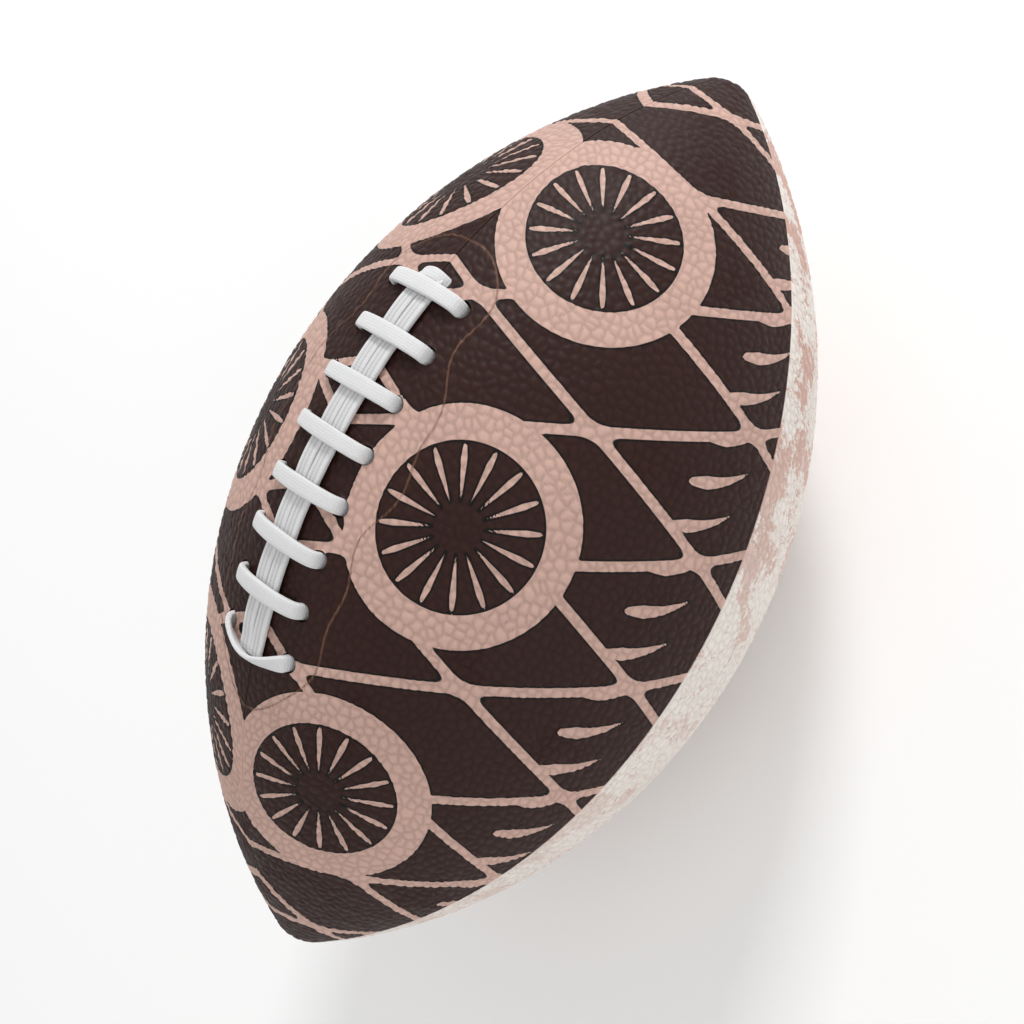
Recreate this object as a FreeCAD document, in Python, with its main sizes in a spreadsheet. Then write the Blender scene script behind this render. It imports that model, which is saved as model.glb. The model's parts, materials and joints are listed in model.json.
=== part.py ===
"""A laced four-panel football, built as its maker builds it, in millimetres.

The ball lies along X with the lacing on top, and its centre is the origin. Its outline is a wide arc with a
small nose arc at each end, so that every layer is the same outline moved inwards by its own inset. Four lens
panels meet in four seams, at +Z, -Y, -Z and +Y. Each cover turns its edges in along its seams, where two
threads lock through the turned edges. Padding and a fabric lining back each cover, the bladder fills the
inside, and one lace closes the slit in the top seam.
"""

import FreeCAD, Part
import os
import Sketcher

SIZES = {
    "ball_length": 280.0,  # nose to nose
    "belly_radius": 78.0,
    "nose_radius": 13.5,
    "cover_wall": 1.8,
    "padding_wall": 1.2,
    "lining_wall": 0.8,
    "bladder_wall": 0.9,
    "fit_gap": 0.1,  # between pieces that lie side by side
    "run_gap": 0.5,  # between the lining and the lace behind it
    "nose_margin": 20.0,  # left unsewn before each nose
    "vee_depth": 0.8,  # the groove that shows along a seam
    "vee_half_width": 0.9,
    "thread_radius": 0.35,
    "stitch_pitch": 5.0,
    "lace_pitch": 14.65,  # along the ball's surface
    "lace_offset": -2.8,  # middle of the lacing, from the ball's middle, along the surface
    "lace_rows": 8,
    "lace_width": 4.7,
    "lace_thickness": 1.9,
    "lace_bend": 1.3,  # inner radius where a crossbar turns down into its hole
    "hole_spread": 26.0,  # across the seam, from hole to hole
    "lace_gap": 0.165,  # between the lace and the wall of its hole
    "slit_width": 1.4,
    "tuck_rows": 0.8,  # from the first crossbar to the hole for the lace's tails, in lace pitches
    "stay_margin": 5.0,  # of the lace stays, past the holes
    "tongue_wall": 1.2,
    "tongue_margin": 3.0,  # of the tongue, past the holes
    "neck_radius": 4.6,  # valve housing
    "neck_recess": 0.5,  # of the housing's mouth, under the cover's surface
    "neck_length": 16.0,
    "flange_radius": 11.0,
    "flange_wall": 1.2,
    "plug_radius": 3.0,
    "plug_recess": 0.8,  # under the housing's mouth
    "plug_length": 14.0,
    "grommet_wall": 1.4,
    "needle_radius": 0.95,
    "needle_depth": 12.0,
    "valve_turn": -135.0,  # about X, from the top seam to the valve
}

doc = FreeCAD.newDocument("Football")
sheet = doc.addObject("Spreadsheet::Sheet", "Sizes")
for row, (alias, size) in enumerate(SIZES.items(), start=1):
    sheet.set(f"A{row}", alias)
    sheet.set(f"B{row}", str(size))
    sheet.setAlias(f"B{row}", alias)
doc.recompute()


def named(text):
    """The expression with each alias read from the sheet."""
    for alias in sorted(SIZES, key=len, reverse=True):
        text = text.replace(f"@{alias}", f"Sizes.{alias}")
    return f"({text})"


def number(expression):
    """What an expression is worth now."""
    return float(sheet.evalExpression(expression))


# The outline: the long arc's centre lies below the axis, and each nose arc's centre lies on it.
NOSE_X = named("@ball_length / 2 - @nose_radius")
ARC = named(f"({NOSE_X}^2 / (@belly_radius - @nose_radius) + @belly_radius + @nose_radius) / 2")
SINK = named(f"{ARC} - @belly_radius")
ARC_HALF_TURN = named(f"asin({NOSE_X} / ({ARC} - @nose_radius)) / 1 deg")

# How deep under the cover's surface each layer's faces lie.
COVER_IN = named("@cover_wall")
PADDING_IN = named(f"{COVER_IN} + @padding_wall")
LINING_IN = named(f"{PADDING_IN} + @lining_wall")
BLADDER_IN = named(f"{LINING_IN} + @bladder_wall")
FLANGE_IN = named(f"{BLADDER_IN} + @flange_wall")
HOLE_RADIUS = named("sqrt(@lace_width^2 + @lace_thickness^2) / 2 + @lace_gap")
HOLE_DROP = named("(@hole_spread + @lace_thickness)^2 / (8 * @belly_radius)")  # from the seam to a hole
RUN_OUT = named(f"{LINING_IN} + {HOLE_DROP} + @run_gap")
RUN_IN = named(f"{RUN_OUT} + @lace_thickness")
TONGUE_OUT = named(f"{RUN_IN} + @fit_gap")
TONGUE_IN = named(f"{TONGUE_OUT} + @tongue_wall")
RECESS_IN = named(f"{TONGUE_IN} + @bladder_wall")

# Angles about the long arc's centre, from the ball's middle towards +X.
DEGREES = "180 / pi"
LACE_STEP = named(f"@lace_pitch / {ARC} * {DEGREES}")
LACE_MIDDLE = named(f"@lace_offset / {ARC} * {DEGREES}")
LACE_FIRST = named(f"{LACE_MIDDLE} - (@lace_rows - 1) / 2 * {LACE_STEP}")
LACE_LAST = named(f"{LACE_MIDDLE} + (@lace_rows - 1) / 2 * {LACE_STEP}")
TUCK = named(f"{LACE_FIRST} - @tuck_rows * {LACE_STEP}")
FOLD = named(f"{LACE_LAST} + @tuck_rows / 2 * {LACE_STEP}")
REACH = named("@ball_length / 2 - @nose_margin")
SEWN_HALF_TURN = named(f"asin({REACH} / {ARC}) / 1 deg")

SEAM_EDGE = named("@fit_gap / 2")
TURN_IN_EDGE = named(f"{SEAM_EDGE} + @cover_wall")
THREAD_LINE = named(f"{TURN_IN_EDGE} + @thread_radius")
LAYER_EDGE = named(f"{THREAD_LINE} + @thread_radius + @fit_gap")
STITCH_IN = named(f"({COVER_IN} + {LINING_IN}) / 2")
CLEAR = named("@belly_radius + 10")  # past the ball's surface, for tools that cut right out of it

SEAM_TURNS = {"top": 0, "front": 90, "bottom": 180, "back": -90}
QUADRANTS = {
    "top_front": (-1, 1),
    "top_back": (1, 1),
    "bottom_front": (-1, -1),
    "bottom_back": (1, -1),
}


def vector(x="0", y="0", z="0"):
    """A vector, as an expression."""
    return f"create(<<vector>>; {x}; {y}; {z})"


def turn(axis, angle):
    """A rotation, as an expression."""
    return f"create(<<rotation>>; {axis}; {angle})"


def placement(position, rotation):
    """A placement, as an expression."""
    return f"create(<<placement>>; {position}; {rotation})"


X_AXIS = vector(x="1")
Y_AXIS = vector(y="1")
NO_TURN = turn(Y_AXIS, "0")


def about_arc(angle, seam_turn=0, position=vector()):
    """A placement in the long arc's frame: its origin is the arc's centre, and Z points out at the angle."""
    to_seam = placement(vector(), turn(X_AXIS, str(seam_turn)))
    to_centre = placement(vector(z=f"-{SINK}"), NO_TURN)
    to_angle = placement(vector(), turn(Y_AXIS, angle))
    return f"{to_seam} * {to_centre} * {to_angle} * {placement(position, NO_TURN)}"


def add(kind, name, **expressions):
    """An object of the document, its properties bound to expressions."""
    made = doc.addObject(kind, name)
    for prop, expression in expressions.items():
        made.setExpression(prop, expression)
    return made


def cut(name, base, tool):
    """A Cut of one shape by another."""
    made = add("Part::Cut", name)
    made.Base, made.Tool = base, tool
    return made


def common(name, *shapes):
    """The space that the shapes share."""
    made = add("Part::MultiCommon", name)
    made.Shapes = list(shapes)
    return made


def fuse(name, *shapes):
    """The shapes joined into one."""
    made = add("Part::MultiFuse", name)
    made.Shapes = list(shapes)
    return made


def group(name, *shapes):
    """The shapes held together as one tool."""
    made = add("Part::Compound", name)
    made.Links = list(shapes)
    return made


def box(name, low, high):
    """A box between two corners, each given as three expressions."""
    sides = [f"({b}) - ({a})" for a, b in zip(low, high)]
    return add(
        "Part::Box",
        name,
        Length=sides[0],
        Width=sides[1],
        Height=sides[2],
        Placement=placement(vector(*low), NO_TURN),
    )


def side(sign, near, far):
    """The low and high ends of a span that runs from near to far on one side of zero."""
    return (near, far) if sign > 0 else (f"-({far})", f"-({near})")


def sketch_on(body, role, name):
    """A sketch on one of the body's own origin planes."""
    plane = next(f for f in body.Origin.OriginFeatures if f.Role == role)
    sketch = body.newObject("Sketcher::SketchObject", name)
    sketch.AttachmentSupport = [(plane, "")]
    sketch.MapMode = "FlatFace"
    return sketch


def limit(sketch, kind, *where, expression=None):
    """Adds a constraint, and binds it to an expression where there is one."""
    if expression is None:
        return sketch.addConstraint(Sketcher.Constraint(kind, *where))
    index = sketch.addConstraint(Sketcher.Constraint(kind, *where, abs(number(expression))))
    sketch.setExpression(f"Constraints[{index}]", expression)
    return index


def set_from_origin(sketch, element, point, x, y):
    """Holds a point of the sketch at distances from its origin, either of which may be zero or negative."""
    for kind, expression, axis in (("DistanceX", x, -2), ("DistanceY", y, -1)):
        size = number(expression)
        if abs(size) < 1e-9:
            limit(sketch, "PointOnObject", element, point, axis)
        elif size > 0:
            limit(sketch, kind, -1, 1, element, point, expression=expression)
        else:
            limit(sketch, kind, element, point, -1, 1, expression=f"-({expression})")


def polygon(sketch, corners):
    """A closed outline through corners, each a pair of expressions measured from the sketch's origin."""
    points = [FreeCAD.Vector(number(x), number(y), 0) for x, y in corners]
    first = sketch.GeometryCount
    for start, end in zip(points, points[1:] + points[:1]):
        sketch.addGeometry(Part.LineSegment(start, end))
    for n, (x, y) in enumerate(corners):
        line = first + n
        limit(sketch, "Coincident", line, 2, first + (n + 1) % len(corners), 1)
        set_from_origin(sketch, line, 1, x, y)


def circle(sketch, x, y, radius):
    """A circle about a point in the sketch."""
    centre = FreeCAD.Vector(number(x), number(y), 0)
    index = sketch.addGeometry(Part.Circle(centre, FreeCAD.Vector(0, 0, 1), number(radius)))
    limit(sketch, "Radius", index, expression=radius)
    set_from_origin(sketch, index, 3, x, y)


def revolve(body, sketch, axis, angle, midplane=False):
    """A Revolution of the sketch about one of its own axes."""
    made = body.newObject("PartDesign::Revolution", f"{sketch.Name}_turned")
    made.Profile = sketch
    made.ReferenceAxis = (sketch, [axis])
    made.Midplane = midplane
    made.setExpression("Angle", angle)
    sketch.Visibility = False
    return made


def pad(body, sketch, length, midplane=False, reverse=False):
    """A Pad of the sketch, to one side or to both."""
    made = body.newObject("PartDesign::Pad", f"{sketch.Name}_padded")
    made.Profile = sketch
    made.SideType = "Symmetric" if midplane else "One side"
    made.Reversed = reverse
    made.setExpression("Length", length)
    return made


def repeat_about_arc(body, feature, step, count):
    """Repeats a feature about the body's Y axis, one step after another, and makes it the body's tip."""
    doc.recompute()
    made = body.newObject("PartDesign::PolarPattern", f"{feature.Name}_row")
    made.Originals = [feature]
    axis = next(f for f in body.Origin.OriginFeatures if f.Role == "Y_Axis")
    made.Axis = (axis, [""])
    made.setExpression("Occurrences", count)
    made.setExpression("Angle", f"{step} * ({count} - 1)")
    body.Tip = made
    return made


def former(name, inset):
    """The ball's outline turned about X, with its surface moved inwards by the inset."""
    body = add("PartDesign::Body", name)
    sketch = sketch_on(body, "XZ_Plane", f"{name}_outline")
    nose_x, sink, half_turn = number(NOSE_X), number(SINK), number(f"{ARC_HALF_TURN} * pi / 180")
    depth = number(inset)
    arc_radius, nose_radius = number(ARC) - depth, SIZES["nose_radius"] - depth
    half_length = nose_x + nose_radius
    quarter = number("pi / 2")

    def arc(x, y, radius, start, end):
        round_edge = Part.Circle(FreeCAD.Vector(x, y, 0), FreeCAD.Vector(0, 0, 1), radius)
        return sketch.addGeometry(Part.ArcOfCircle(round_edge, start, end))

    long_arc = arc(0, -sink, arc_radius, quarter - half_turn, quarter + half_turn)
    right_nose = arc(nose_x, 0, nose_radius, 0, quarter - half_turn)
    left_nose = arc(-nose_x, 0, nose_radius, quarter + half_turn, 2 * quarter)
    axis = sketch.addGeometry(
        Part.LineSegment(FreeCAD.Vector(-half_length, 0, 0), FreeCAD.Vector(half_length, 0, 0))
    )
    belly = sketch.addGeometry(Part.Point(FreeCAD.Vector(0, arc_radius - sink, 0)))
    limit(sketch, "Tangent", long_arc, 1, right_nose, 2)
    limit(sketch, "Tangent", long_arc, 2, left_nose, 1)
    limit(sketch, "Coincident", right_nose, 1, axis, 2)
    limit(sketch, "Coincident", left_nose, 2, axis, 1)
    for element, point, line in (
        (axis, 1, -1),
        (axis, 2, -1),
        (right_nose, 3, -1),
        (left_nose, 3, -1),
        (long_arc, 3, -2),
        (belly, 1, -2),
        (belly, 1, long_arc),
    ):
        limit(sketch, "PointOnObject", element, point, line)
    limit(sketch, "Equal", right_nose, left_nose)
    limit(sketch, "Radius", right_nose, expression=named(f"@nose_radius - {inset}"))
    limit(sketch, "DistanceX", axis, 1, axis, 2, expression=named(f"@ball_length - 2 * {inset}"))
    limit(sketch, "DistanceY", -1, 1, belly, 1, expression=named(f"@belly_radius - {inset}"))
    revolve(body, sketch, "H_Axis", "360")
    return body


def seam_tool(name, seam, start, corners, angle):
    """A ring segment about the long arc's centre, with an outline in (across the seam, out from the centre)."""
    body = add("PartDesign::Body", name, Placement=about_arc(start, SEAM_TURNS[seam]))
    sketch = sketch_on(body, "YZ_Plane", f"{name}_section")
    polygon(sketch, corners)
    revolve(body, sketch, "H_Axis", angle, midplane=True)
    return body


class Seam:
    """One run of sewing: where it starts, how many stitches it has, and the tools and threads made from it.

    Its bodies turn about the long arc's centre, and start one lead before the first stitch.
    """

    def __init__(self, name, seam, start, end):
        self.name, self.seam, self.start = name, seam, start
        step = named(f"@stitch_pitch / {ARC} * {DEGREES}")
        self.step = step
        self.lead = named(f"2 * @thread_radius / {ARC} * {DEGREES}")
        self.count = named(f"floor(({end} - {start}) / {step}) + 1")
        self.line = named(f"{ARC} - {STITCH_IN}")

    def body(self, name):
        """A body whose X axis points out a little before the first stitch."""
        turned = about_arc(f"({self.start} - 90 - {self.lead})", SEAM_TURNS[self.seam])
        return add("PartDesign::Body", name, Placement=turned)

    def stitch_row(self, body, radius, length, low=None):
        """Rods across the seam, one at each stitch."""
        sketch = sketch_on(body, "XZ_Plane", f"{body.Name}_stitch")
        out = named(f"{self.line} * cos({self.lead})")
        along = named(f"{self.line} * sin({self.lead})")
        circle(sketch, out, f"(-{along})", radius)
        if low is None:
            rod = pad(body, sketch, length, midplane=True)
        else:
            sketch.setExpression("AttachmentOffset.Base.z", named(f"{low} * @fit_gap / 4"))
            rod = pad(body, sketch, length, reverse=low < 0)
        return repeat_about_arc(body, rod, self.step, self.count)

    def holes(self):
        """Holes for the stitches, through both turned edges."""
        body = self.body(f"stitch_holes_{self.name}")
        radius = named("@thread_radius + @fit_gap")
        self.stitch_row(body, radius, named(f"2 * {LAYER_EDGE}"))
        return body

    def thread(self, label, sign):
        """A thread along one face of the turned edges, with a loop into each hole as far as the seam.

        The run is pulled flat against the edge, and goes a little past its first and last loops.
        """
        body = self.body(f"{label}_{self.name}")
        sketch = sketch_on(body, "XY_Plane", f"{body.Name}_run")
        near = named(f"{THREAD_LINE} - @thread_radius + @fit_gap / 4")
        shoulder = named(f"{THREAD_LINE} + @thread_radius / 2")
        far = named(f"{THREAD_LINE} + @thread_radius")
        wide = [named(f"{self.line} {side} @thread_radius") for side in "-+"]
        narrow = [named(f"{self.line} {side} @thread_radius / 2") for side in "-+"]
        section = [(wide[0], near), (wide[1], near), (wide[1], shoulder)]
        section += [(narrow[1], far), (narrow[0], far), (wide[0], shoulder)]
        polygon(sketch, [(x, f"({sign} * {y})") for x, y in section])
        revolve(body, sketch, "V_Axis", f"{self.step} * ({self.count} - 1) + 2 * {self.lead}")
        doc.recompute()
        # The XZ plane of a body faces -Y, so a rod on the front side grows along the sketch's normal.
        length = named(f"{THREAD_LINE} - @fit_gap / 4")
        self.stitch_row(body, named("@thread_radius - @fit_gap / 2"), length, low=-sign)
        return finish(body, f"{label}_{self.name}")


PIECES = []


def finish(piece, label):
    """Names a piece of the ball, and lists it for export."""
    piece.Label = label
    PIECES.append(piece)
    return piece


def lacing_box(name, margin, low_z="0"):
    """The space over the lacing, from the first hole to the last and from hole to hole, with a margin."""
    reach = named(f"@hole_spread / 2 + {HOLE_RADIUS} + {margin}")
    first = named(f"{ARC} * sin({LACE_FIRST}) - {HOLE_RADIUS} - {margin} - @lace_pitch * @tuck_rows")
    last = named(f"{ARC} * sin({LACE_LAST}) + {HOLE_RADIUS} + {margin}")
    return box(name, (first, f"-{reach}", low_z), (last, reach, CLEAR))


def make_layers():
    """The nested outlines, and the shells between them."""
    insets = {
        "surface": "0",
        "cover_in": COVER_IN,
        "padding_in": PADDING_IN,
        "lining_in": LINING_IN,
        "bladder_in": BLADDER_IN,
        "flange_in": FLANGE_IN,
        "tongue_out": TONGUE_OUT,
        "tongue_in": TONGUE_IN,
        "recess_in": RECESS_IN,
    }
    forms = {name: former(f"form_{name}", inset) for name, inset in insets.items()}
    pairs = {
        "cover": ("surface", "cover_in"),
        "turn_in": ("surface", "lining_in"),
        "padding": ("cover_in", "padding_in"),
        "lining": ("padding_in", "lining_in"),
        "tongue": ("tongue_out", "tongue_in"),
        "flange": ("bladder_in", "flange_in"),
    }
    shells = {name: cut(f"shell_{name}", forms[a], forms[b]) for name, (a, b) in pairs.items()}
    return forms, shells


def make_lace_holes():
    """The tools that open the slit, the lace holes and the hole for the lace's tails."""
    holes = add("PartDesign::Body", "lace_holes", Placement=about_arc(LACE_FIRST))
    sketch = sketch_on(holes, "XY_Plane", "lace_hole_pair")
    half_spread = named("@hole_spread / 2")
    for sign in (1, -1):
        circle(sketch, "0", f"({sign} * {half_spread})", HOLE_RADIUS)
    sketch.setExpression("AttachmentOffset.Base.z", named(f"{ARC} - {TONGUE_OUT}"))
    drill = pad(holes, sketch, named(f"{TONGUE_OUT} + @lace_thickness"))
    repeat_about_arc(holes, drill, LACE_STEP, named("@lace_rows"))
    tuck = add(
        "Part::Cylinder",
        "tuck_hole",
        Radius=HOLE_RADIUS,
        Height=named(f"{TONGUE_OUT} + @lace_thickness"),
        Placement=about_arc(TUCK, position=vector(z=named(f"{ARC} - {TONGUE_OUT}"))),
    )
    half_slit = named("@slit_width / 2")
    slit = box(
        "slit",
        (named(f"{ARC} * sin({TUCK})"), f"-{half_slit}", "0"),
        (named(f"{ARC} * sin({FOLD})"), half_slit, CLEAR),
    )
    return group("lacing_tools", holes, tuck, slit)


def make_sewing():
    """The five runs of sewing: one on each plain seam, and one at each end of the lacing."""
    top_start = named(f"{LACE_LAST} + @tuck_rows * {LACE_STEP}")
    top_end = named(f"{TUCK} - ({HOLE_RADIUS} + @stitch_pitch) / {ARC} * {DEGREES}")
    full = (f"-{SEWN_HALF_TURN}", SEWN_HALF_TURN)
    runs = [Seam(seam, seam, *full) for seam in ("front", "bottom", "back")]
    runs.append(Seam("top_right", "top", top_start, SEWN_HALF_TURN))
    runs.append(Seam("top_left", "top", f"-{SEWN_HALF_TURN}", top_end))
    return runs


def make_covers(shells, runs, lacing, valve_holes):
    """The four outer panels, with edges turned in, a groove along each seam and holes for threads and lace."""
    groove = [
        (named("-@vee_half_width - @vee_half_width"), named(f"{ARC} + @vee_depth")),
        (named("@vee_half_width + @vee_half_width"), named(f"{ARC} + @vee_depth")),
        ("0", named(f"{ARC} - @vee_depth")),
    ]
    span = named(f"2 * {ARC_HALF_TURN}")
    grooves = {seam: seam_tool(f"groove_{seam}", seam, "0", groove, span) for seam in SEAM_TURNS}
    sewn = {}
    for run in runs:
        sewn.setdefault(run.seam, []).append(run.holes())
    ends = (f"-{REACH}", REACH)
    for name, (sy, sz) in QUADRANTS.items():
        seams = ("top" if sz > 0 else "bottom", "front" if sy < 0 else "back")
        wide_y, wide_z = side(sy, SEAM_EDGE, CLEAR), side(sz, SEAM_EDGE, CLEAR)
        thin_y, thin_z = side(sy, SEAM_EDGE, TURN_IN_EDGE), side(sz, SEAM_EDGE, TURN_IN_EDGE)
        spans = {
            "panel": (shells["cover"], (f"-{CLEAR} * 2", f"{CLEAR} * 2"), wide_y, wide_z),
            "edge_a": (shells["turn_in"], ends, thin_y, wide_z),
            "edge_b": (shells["turn_in"], ends, wide_y, thin_z),
        }
        made = []
        for part, (shell, x, y, z) in spans.items():
            space = box(f"space_{part}_{name}", (x[0], y[0], z[0]), (x[1], y[1], z[1]))
            made.append(common(f"{part}_{name}", shell, space))
        for n, seam in enumerate(seams, start=1):
            made[n] = cut(f"sewn_{seam}_{name}", made[n], group(f"holes_{seam}_{name}", *sewn[seam]))
        cover = cut(f"grooved_a_{name}", fuse(f"folded_{name}", *made), grooves[seams[0]])
        cover = cut(f"grooved_b_{name}", cover, grooves[seams[1]])
        if sz > 0:
            cover = cut(f"laced_{name}", cover, lacing)
        if name == VALVE_PANEL:
            cover = cut(f"valved_{name}", cover, valve_holes["wide"])
        finish(cover, f"cover_{name}")


def make_backing(shells, lacing, valve_holes):
    """Padding and lining behind each cover, and the two stays that back the lace holes."""
    stay_space = lacing_box("stay_space", "Sizes.stay_margin")
    stay_seat = lacing_box("stay_seat", named("@stay_margin + @fit_gap"))
    for name, (sy, sz) in QUADRANTS.items():
        y, z = side(sy, LAYER_EDGE, CLEAR), side(sz, LAYER_EDGE, CLEAR)
        space = box(f"space_backing_{name}", (f"-{CLEAR} * 2", y[0], z[0]), (f"{CLEAR} * 2", y[1], z[1]))
        padding = common(f"padding_blank_{name}", shells["padding"], space)
        lining = common(f"lining_blank_{name}", shells["lining"], space)
        if sz > 0:
            stay = common(f"stay_blank_{name}", padding, stay_space)
            finish(cut(f"stay_{name}", stay, lacing), f"lace_stay_{name[4:]}")
            padding = cut(f"padding_seated_{name}", padding, stay_seat)
            lining = cut(f"lining_laced_{name}", lining, lacing)
        if name == VALVE_PANEL:
            padding = cut(f"padding_valved_{name}", padding, valve_holes["wide"])
            lining = cut(f"lining_valved_{name}", lining, valve_holes["wide"])
        finish(padding, f"padding_{name}")
        finish(lining, f"lining_{name}")


def make_bladder(forms, shells, valve_holes):
    """The bladder, hollowed under the lacing, and the tongue that keeps the lace off it."""
    tongue_space = lacing_box("tongue_space", "Sizes.tongue_margin")
    finish(common("tongue", shells["tongue"], tongue_space), "lacing_tongue")
    outer_space = lacing_box("recess_space", named("@tongue_margin + @fit_gap"))
    inner_space = lacing_box("recess_inner_space", named("@tongue_margin + @fit_gap + @bladder_wall"))
    outer_band = cut("recess_band", forms["lining_in"], forms["tongue_in"])
    inner_band = cut("recess_inner_band", forms["lining_in"], forms["recess_in"])
    outer_recess = common("recess", outer_band, outer_space)
    inner_recess = common("recess_inner", inner_band, inner_space)
    outside = cut("bladder_outside", forms["lining_in"], outer_recess)
    inside = cut("bladder_inside", forms["bladder_in"], inner_recess)
    hollow = cut("bladder_hollow", outside, inside)
    finish(cut("bladder", hollow, valve_holes["neck"]), "bladder")


VALVE_PANEL = "bottom_back"
TO_VALVE = placement(vector(), turn(X_AXIS, named("@valve_turn")))
MOUTH = named("@belly_radius - @neck_recess")
PLUG_TOP = named(f"{MOUTH} - @plug_recess")


def valve_rod(name, radius, top, length):
    """A cylinder on the valve's axis, from a height above the ball's centre downwards."""
    foot = named(f"{top} - {length}")
    return add(
        "Part::Cylinder",
        name,
        Radius=radius,
        Height=length,
        Placement=f"{TO_VALVE} * {placement(vector(z=foot), NO_TURN)}",
    )


def make_valve_holes():
    """The tools that let the valve through the layers."""
    through = named("@neck_length * 2")
    wide = named("@neck_radius + @fit_gap + @grommet_wall")
    return {
        "wide": valve_rod("valve_wide", wide, CLEAR, through),
        "neck": valve_rod("valve_neck", named("@neck_radius"), CLEAR, through),
    }


def make_valve(shells):
    """The rubber housing bonded into the bladder, its self-sealing plug, and the grommet in the cover."""
    disc = valve_rod("valve_disc", named("@flange_radius"), MOUTH, named("@neck_length"))
    flange = common("valve_flange", shells["flange"], disc)
    neck = valve_rod("valve_stem", named("@neck_radius"), MOUTH, named("@neck_length"))
    seat_length = named("@plug_recess + @plug_length + @fit_gap")
    seat = valve_rod("plug_seat", named("@plug_radius + @fit_gap / 4"), MOUTH, seat_length)
    finish(cut("housing", fuse("valve_body", neck, flange), seat), "valve_housing")
    plug = valve_rod("plug_blank", named("@plug_radius"), PLUG_TOP, named("@plug_length"))
    needle = valve_rod("needle_bore", named("@needle_radius"), PLUG_TOP, named("@needle_depth"))
    finish(cut("plug", plug, needle), "valve_plug")
    ring_top, ring_length = named(f"{MOUTH} + @fit_gap"), named(f"{LINING_IN} - @neck_recess")
    ring = valve_rod("ring", named("@neck_radius + @grommet_wall"), ring_top, ring_length)
    bore = valve_rod("ring_bore", named("@neck_radius + @fit_gap"), ring_top, ring_length)
    finish(cut("grommet", ring, bore), "valve_grommet")


def make_lace():
    """One lace: crossbars through their holes, runs behind the panels, and two strands along the seam."""
    top = named(f"{ARC} + 3 * @fit_gap + 2 * @lace_thickness")
    under = named(f"{top} - @lace_thickness")
    foot = named(f"{ARC} - {RUN_IN}")
    outer = named("@hole_spread / 2 + @lace_thickness / 2")
    inner = named("@hole_spread / 2 - @lace_thickness / 2")
    bend, outer_bend = named("@lace_bend"), named("@lace_bend + @lace_thickness")
    body = add("PartDesign::Body", "lace_bars", Placement=about_arc(LACE_FIRST))
    sketch = sketch_on(body, "YZ_Plane", "crossbar")
    left = named(f"-{outer}")
    polygon(
        sketch,
        [
            (left, foot),
            (left, named(f"{top} - {outer_bend}")),
            (named(f"{outer_bend} - {outer}"), top),
            (named(f"{outer} - {outer_bend}"), top),
            (outer, named(f"{top} - {outer_bend}")),
            (outer, foot),
            (inner, foot),
            (inner, named(f"{under} - {bend}")),
            (named(f"{inner} - {bend}"), under),
            (named(f"{bend} - {inner}"), under),
            (named(f"-{inner}"), named(f"{under} - {bend}")),
            (named(f"-{inner}"), foot),
        ],
    )
    bar = pad(body, sketch, named("@lace_width"), midplane=True)
    bars = repeat_about_arc(body, bar, LACE_STEP, named("@lace_rows"))
    half_step = named(f"{LACE_STEP} / 2")
    runs = add("PartDesign::Body", "lace_runs", Placement=about_arc(f"{LACE_FIRST} + {half_step}"))
    slant = named(f"{foot} * sin({half_step})")
    half_width = named("@lace_width / 2")
    sketch = sketch_on(runs, "XY_Plane", "run")
    sketch.setExpression("AttachmentOffset.Base.z", foot)
    polygon(
        sketch,
        [
            (named(f"-{slant} - {half_width}"), outer),
            (named(f"-{slant} + {half_width}"), outer),
            (named(f"{slant} + {half_width}"), f"-{outer}"),
            (named(f"{slant} - {half_width}"), f"-{outer}"),
        ],
    )
    run = pad(runs, sketch, named("@lace_thickness"))
    repeat_about_arc(runs, run, LACE_STEP, named("@lace_rows - 1"))
    strands = make_strands()
    tails = make_tails(foot)
    doc.recompute()
    finish(fuse("lace_whole", body, runs, *strands, *tails), "lace")


def make_strands():
    """The lace's two runs along the top seam, under the crossbars, and the fold that joins them."""
    low, high = named(f"{ARC} + @fit_gap"), named(f"{ARC} + @fit_gap + @lace_thickness")
    near, far = named("@fit_gap"), named("@fit_gap + @lace_width")
    middle = named(f"({TUCK} + {FOLD}) / 2")
    made = []
    for name, sign in (("front", -1), ("back", 1)):
        y = (named(f"{sign} * {near}"), named(f"{sign} * {far}"))
        corners = [(y[0], low), (y[1], low), (y[1], high), (y[0], high)]
        made.append(seam_tool(f"strand_{name}", "top", middle, corners, named(f"{FOLD} - {TUCK}")))
    for name, angle in (("fold", FOLD), ("join", TUCK)):
        made.append(lace_block(name, angle, (named("@lace_thickness"), named(f"2 * {far}")), low, high))
    return made


def lace_block(name, angle, plan, low, high):
    """A short upright length of lace on the seam, centred at an angle, between two heights."""
    along, across = plan
    return add(
        "Part::Box",
        f"lace_{name}",
        Length=along,
        Width=across,
        Height=named(f"{high} - {low}"),
        Placement=about_arc(angle, position=vector(f"-{along} / 2", f"-{across} / 2", low)),
    )


def make_tails(foot):
    """The lace going in through the tuck hole, and on to the first crossbar behind the panels."""
    low = named(f"{ARC} + @fit_gap")
    plan = (named("@lace_thickness"), named("@lace_width"))
    leg = lace_block("tail", TUCK, plan, foot, low)
    back = named("@hole_spread / 2")
    along = named(f"{foot} * sin(@tuck_rows * {LACE_STEP})")
    link = add("PartDesign::Body", "lace_link", Placement=about_arc(LACE_FIRST))
    sketch = sketch_on(link, "XY_Plane", "link")
    sketch.setExpression("AttachmentOffset.Base.z", foot)
    half_width = named("@lace_width / 2")
    polygon(
        sketch,
        [
            (named(f"-{along} - @lace_thickness"), half_width),
            (named(f"-{along} + @lace_thickness"), half_width),
            (half_width, named(f"-{back}")),
            (named(f"-{half_width}"), named(f"-{back} - @lace_thickness / 2")),
        ],
    )
    pad(link, sketch, named("@lace_thickness"))
    return [leg, link]


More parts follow.
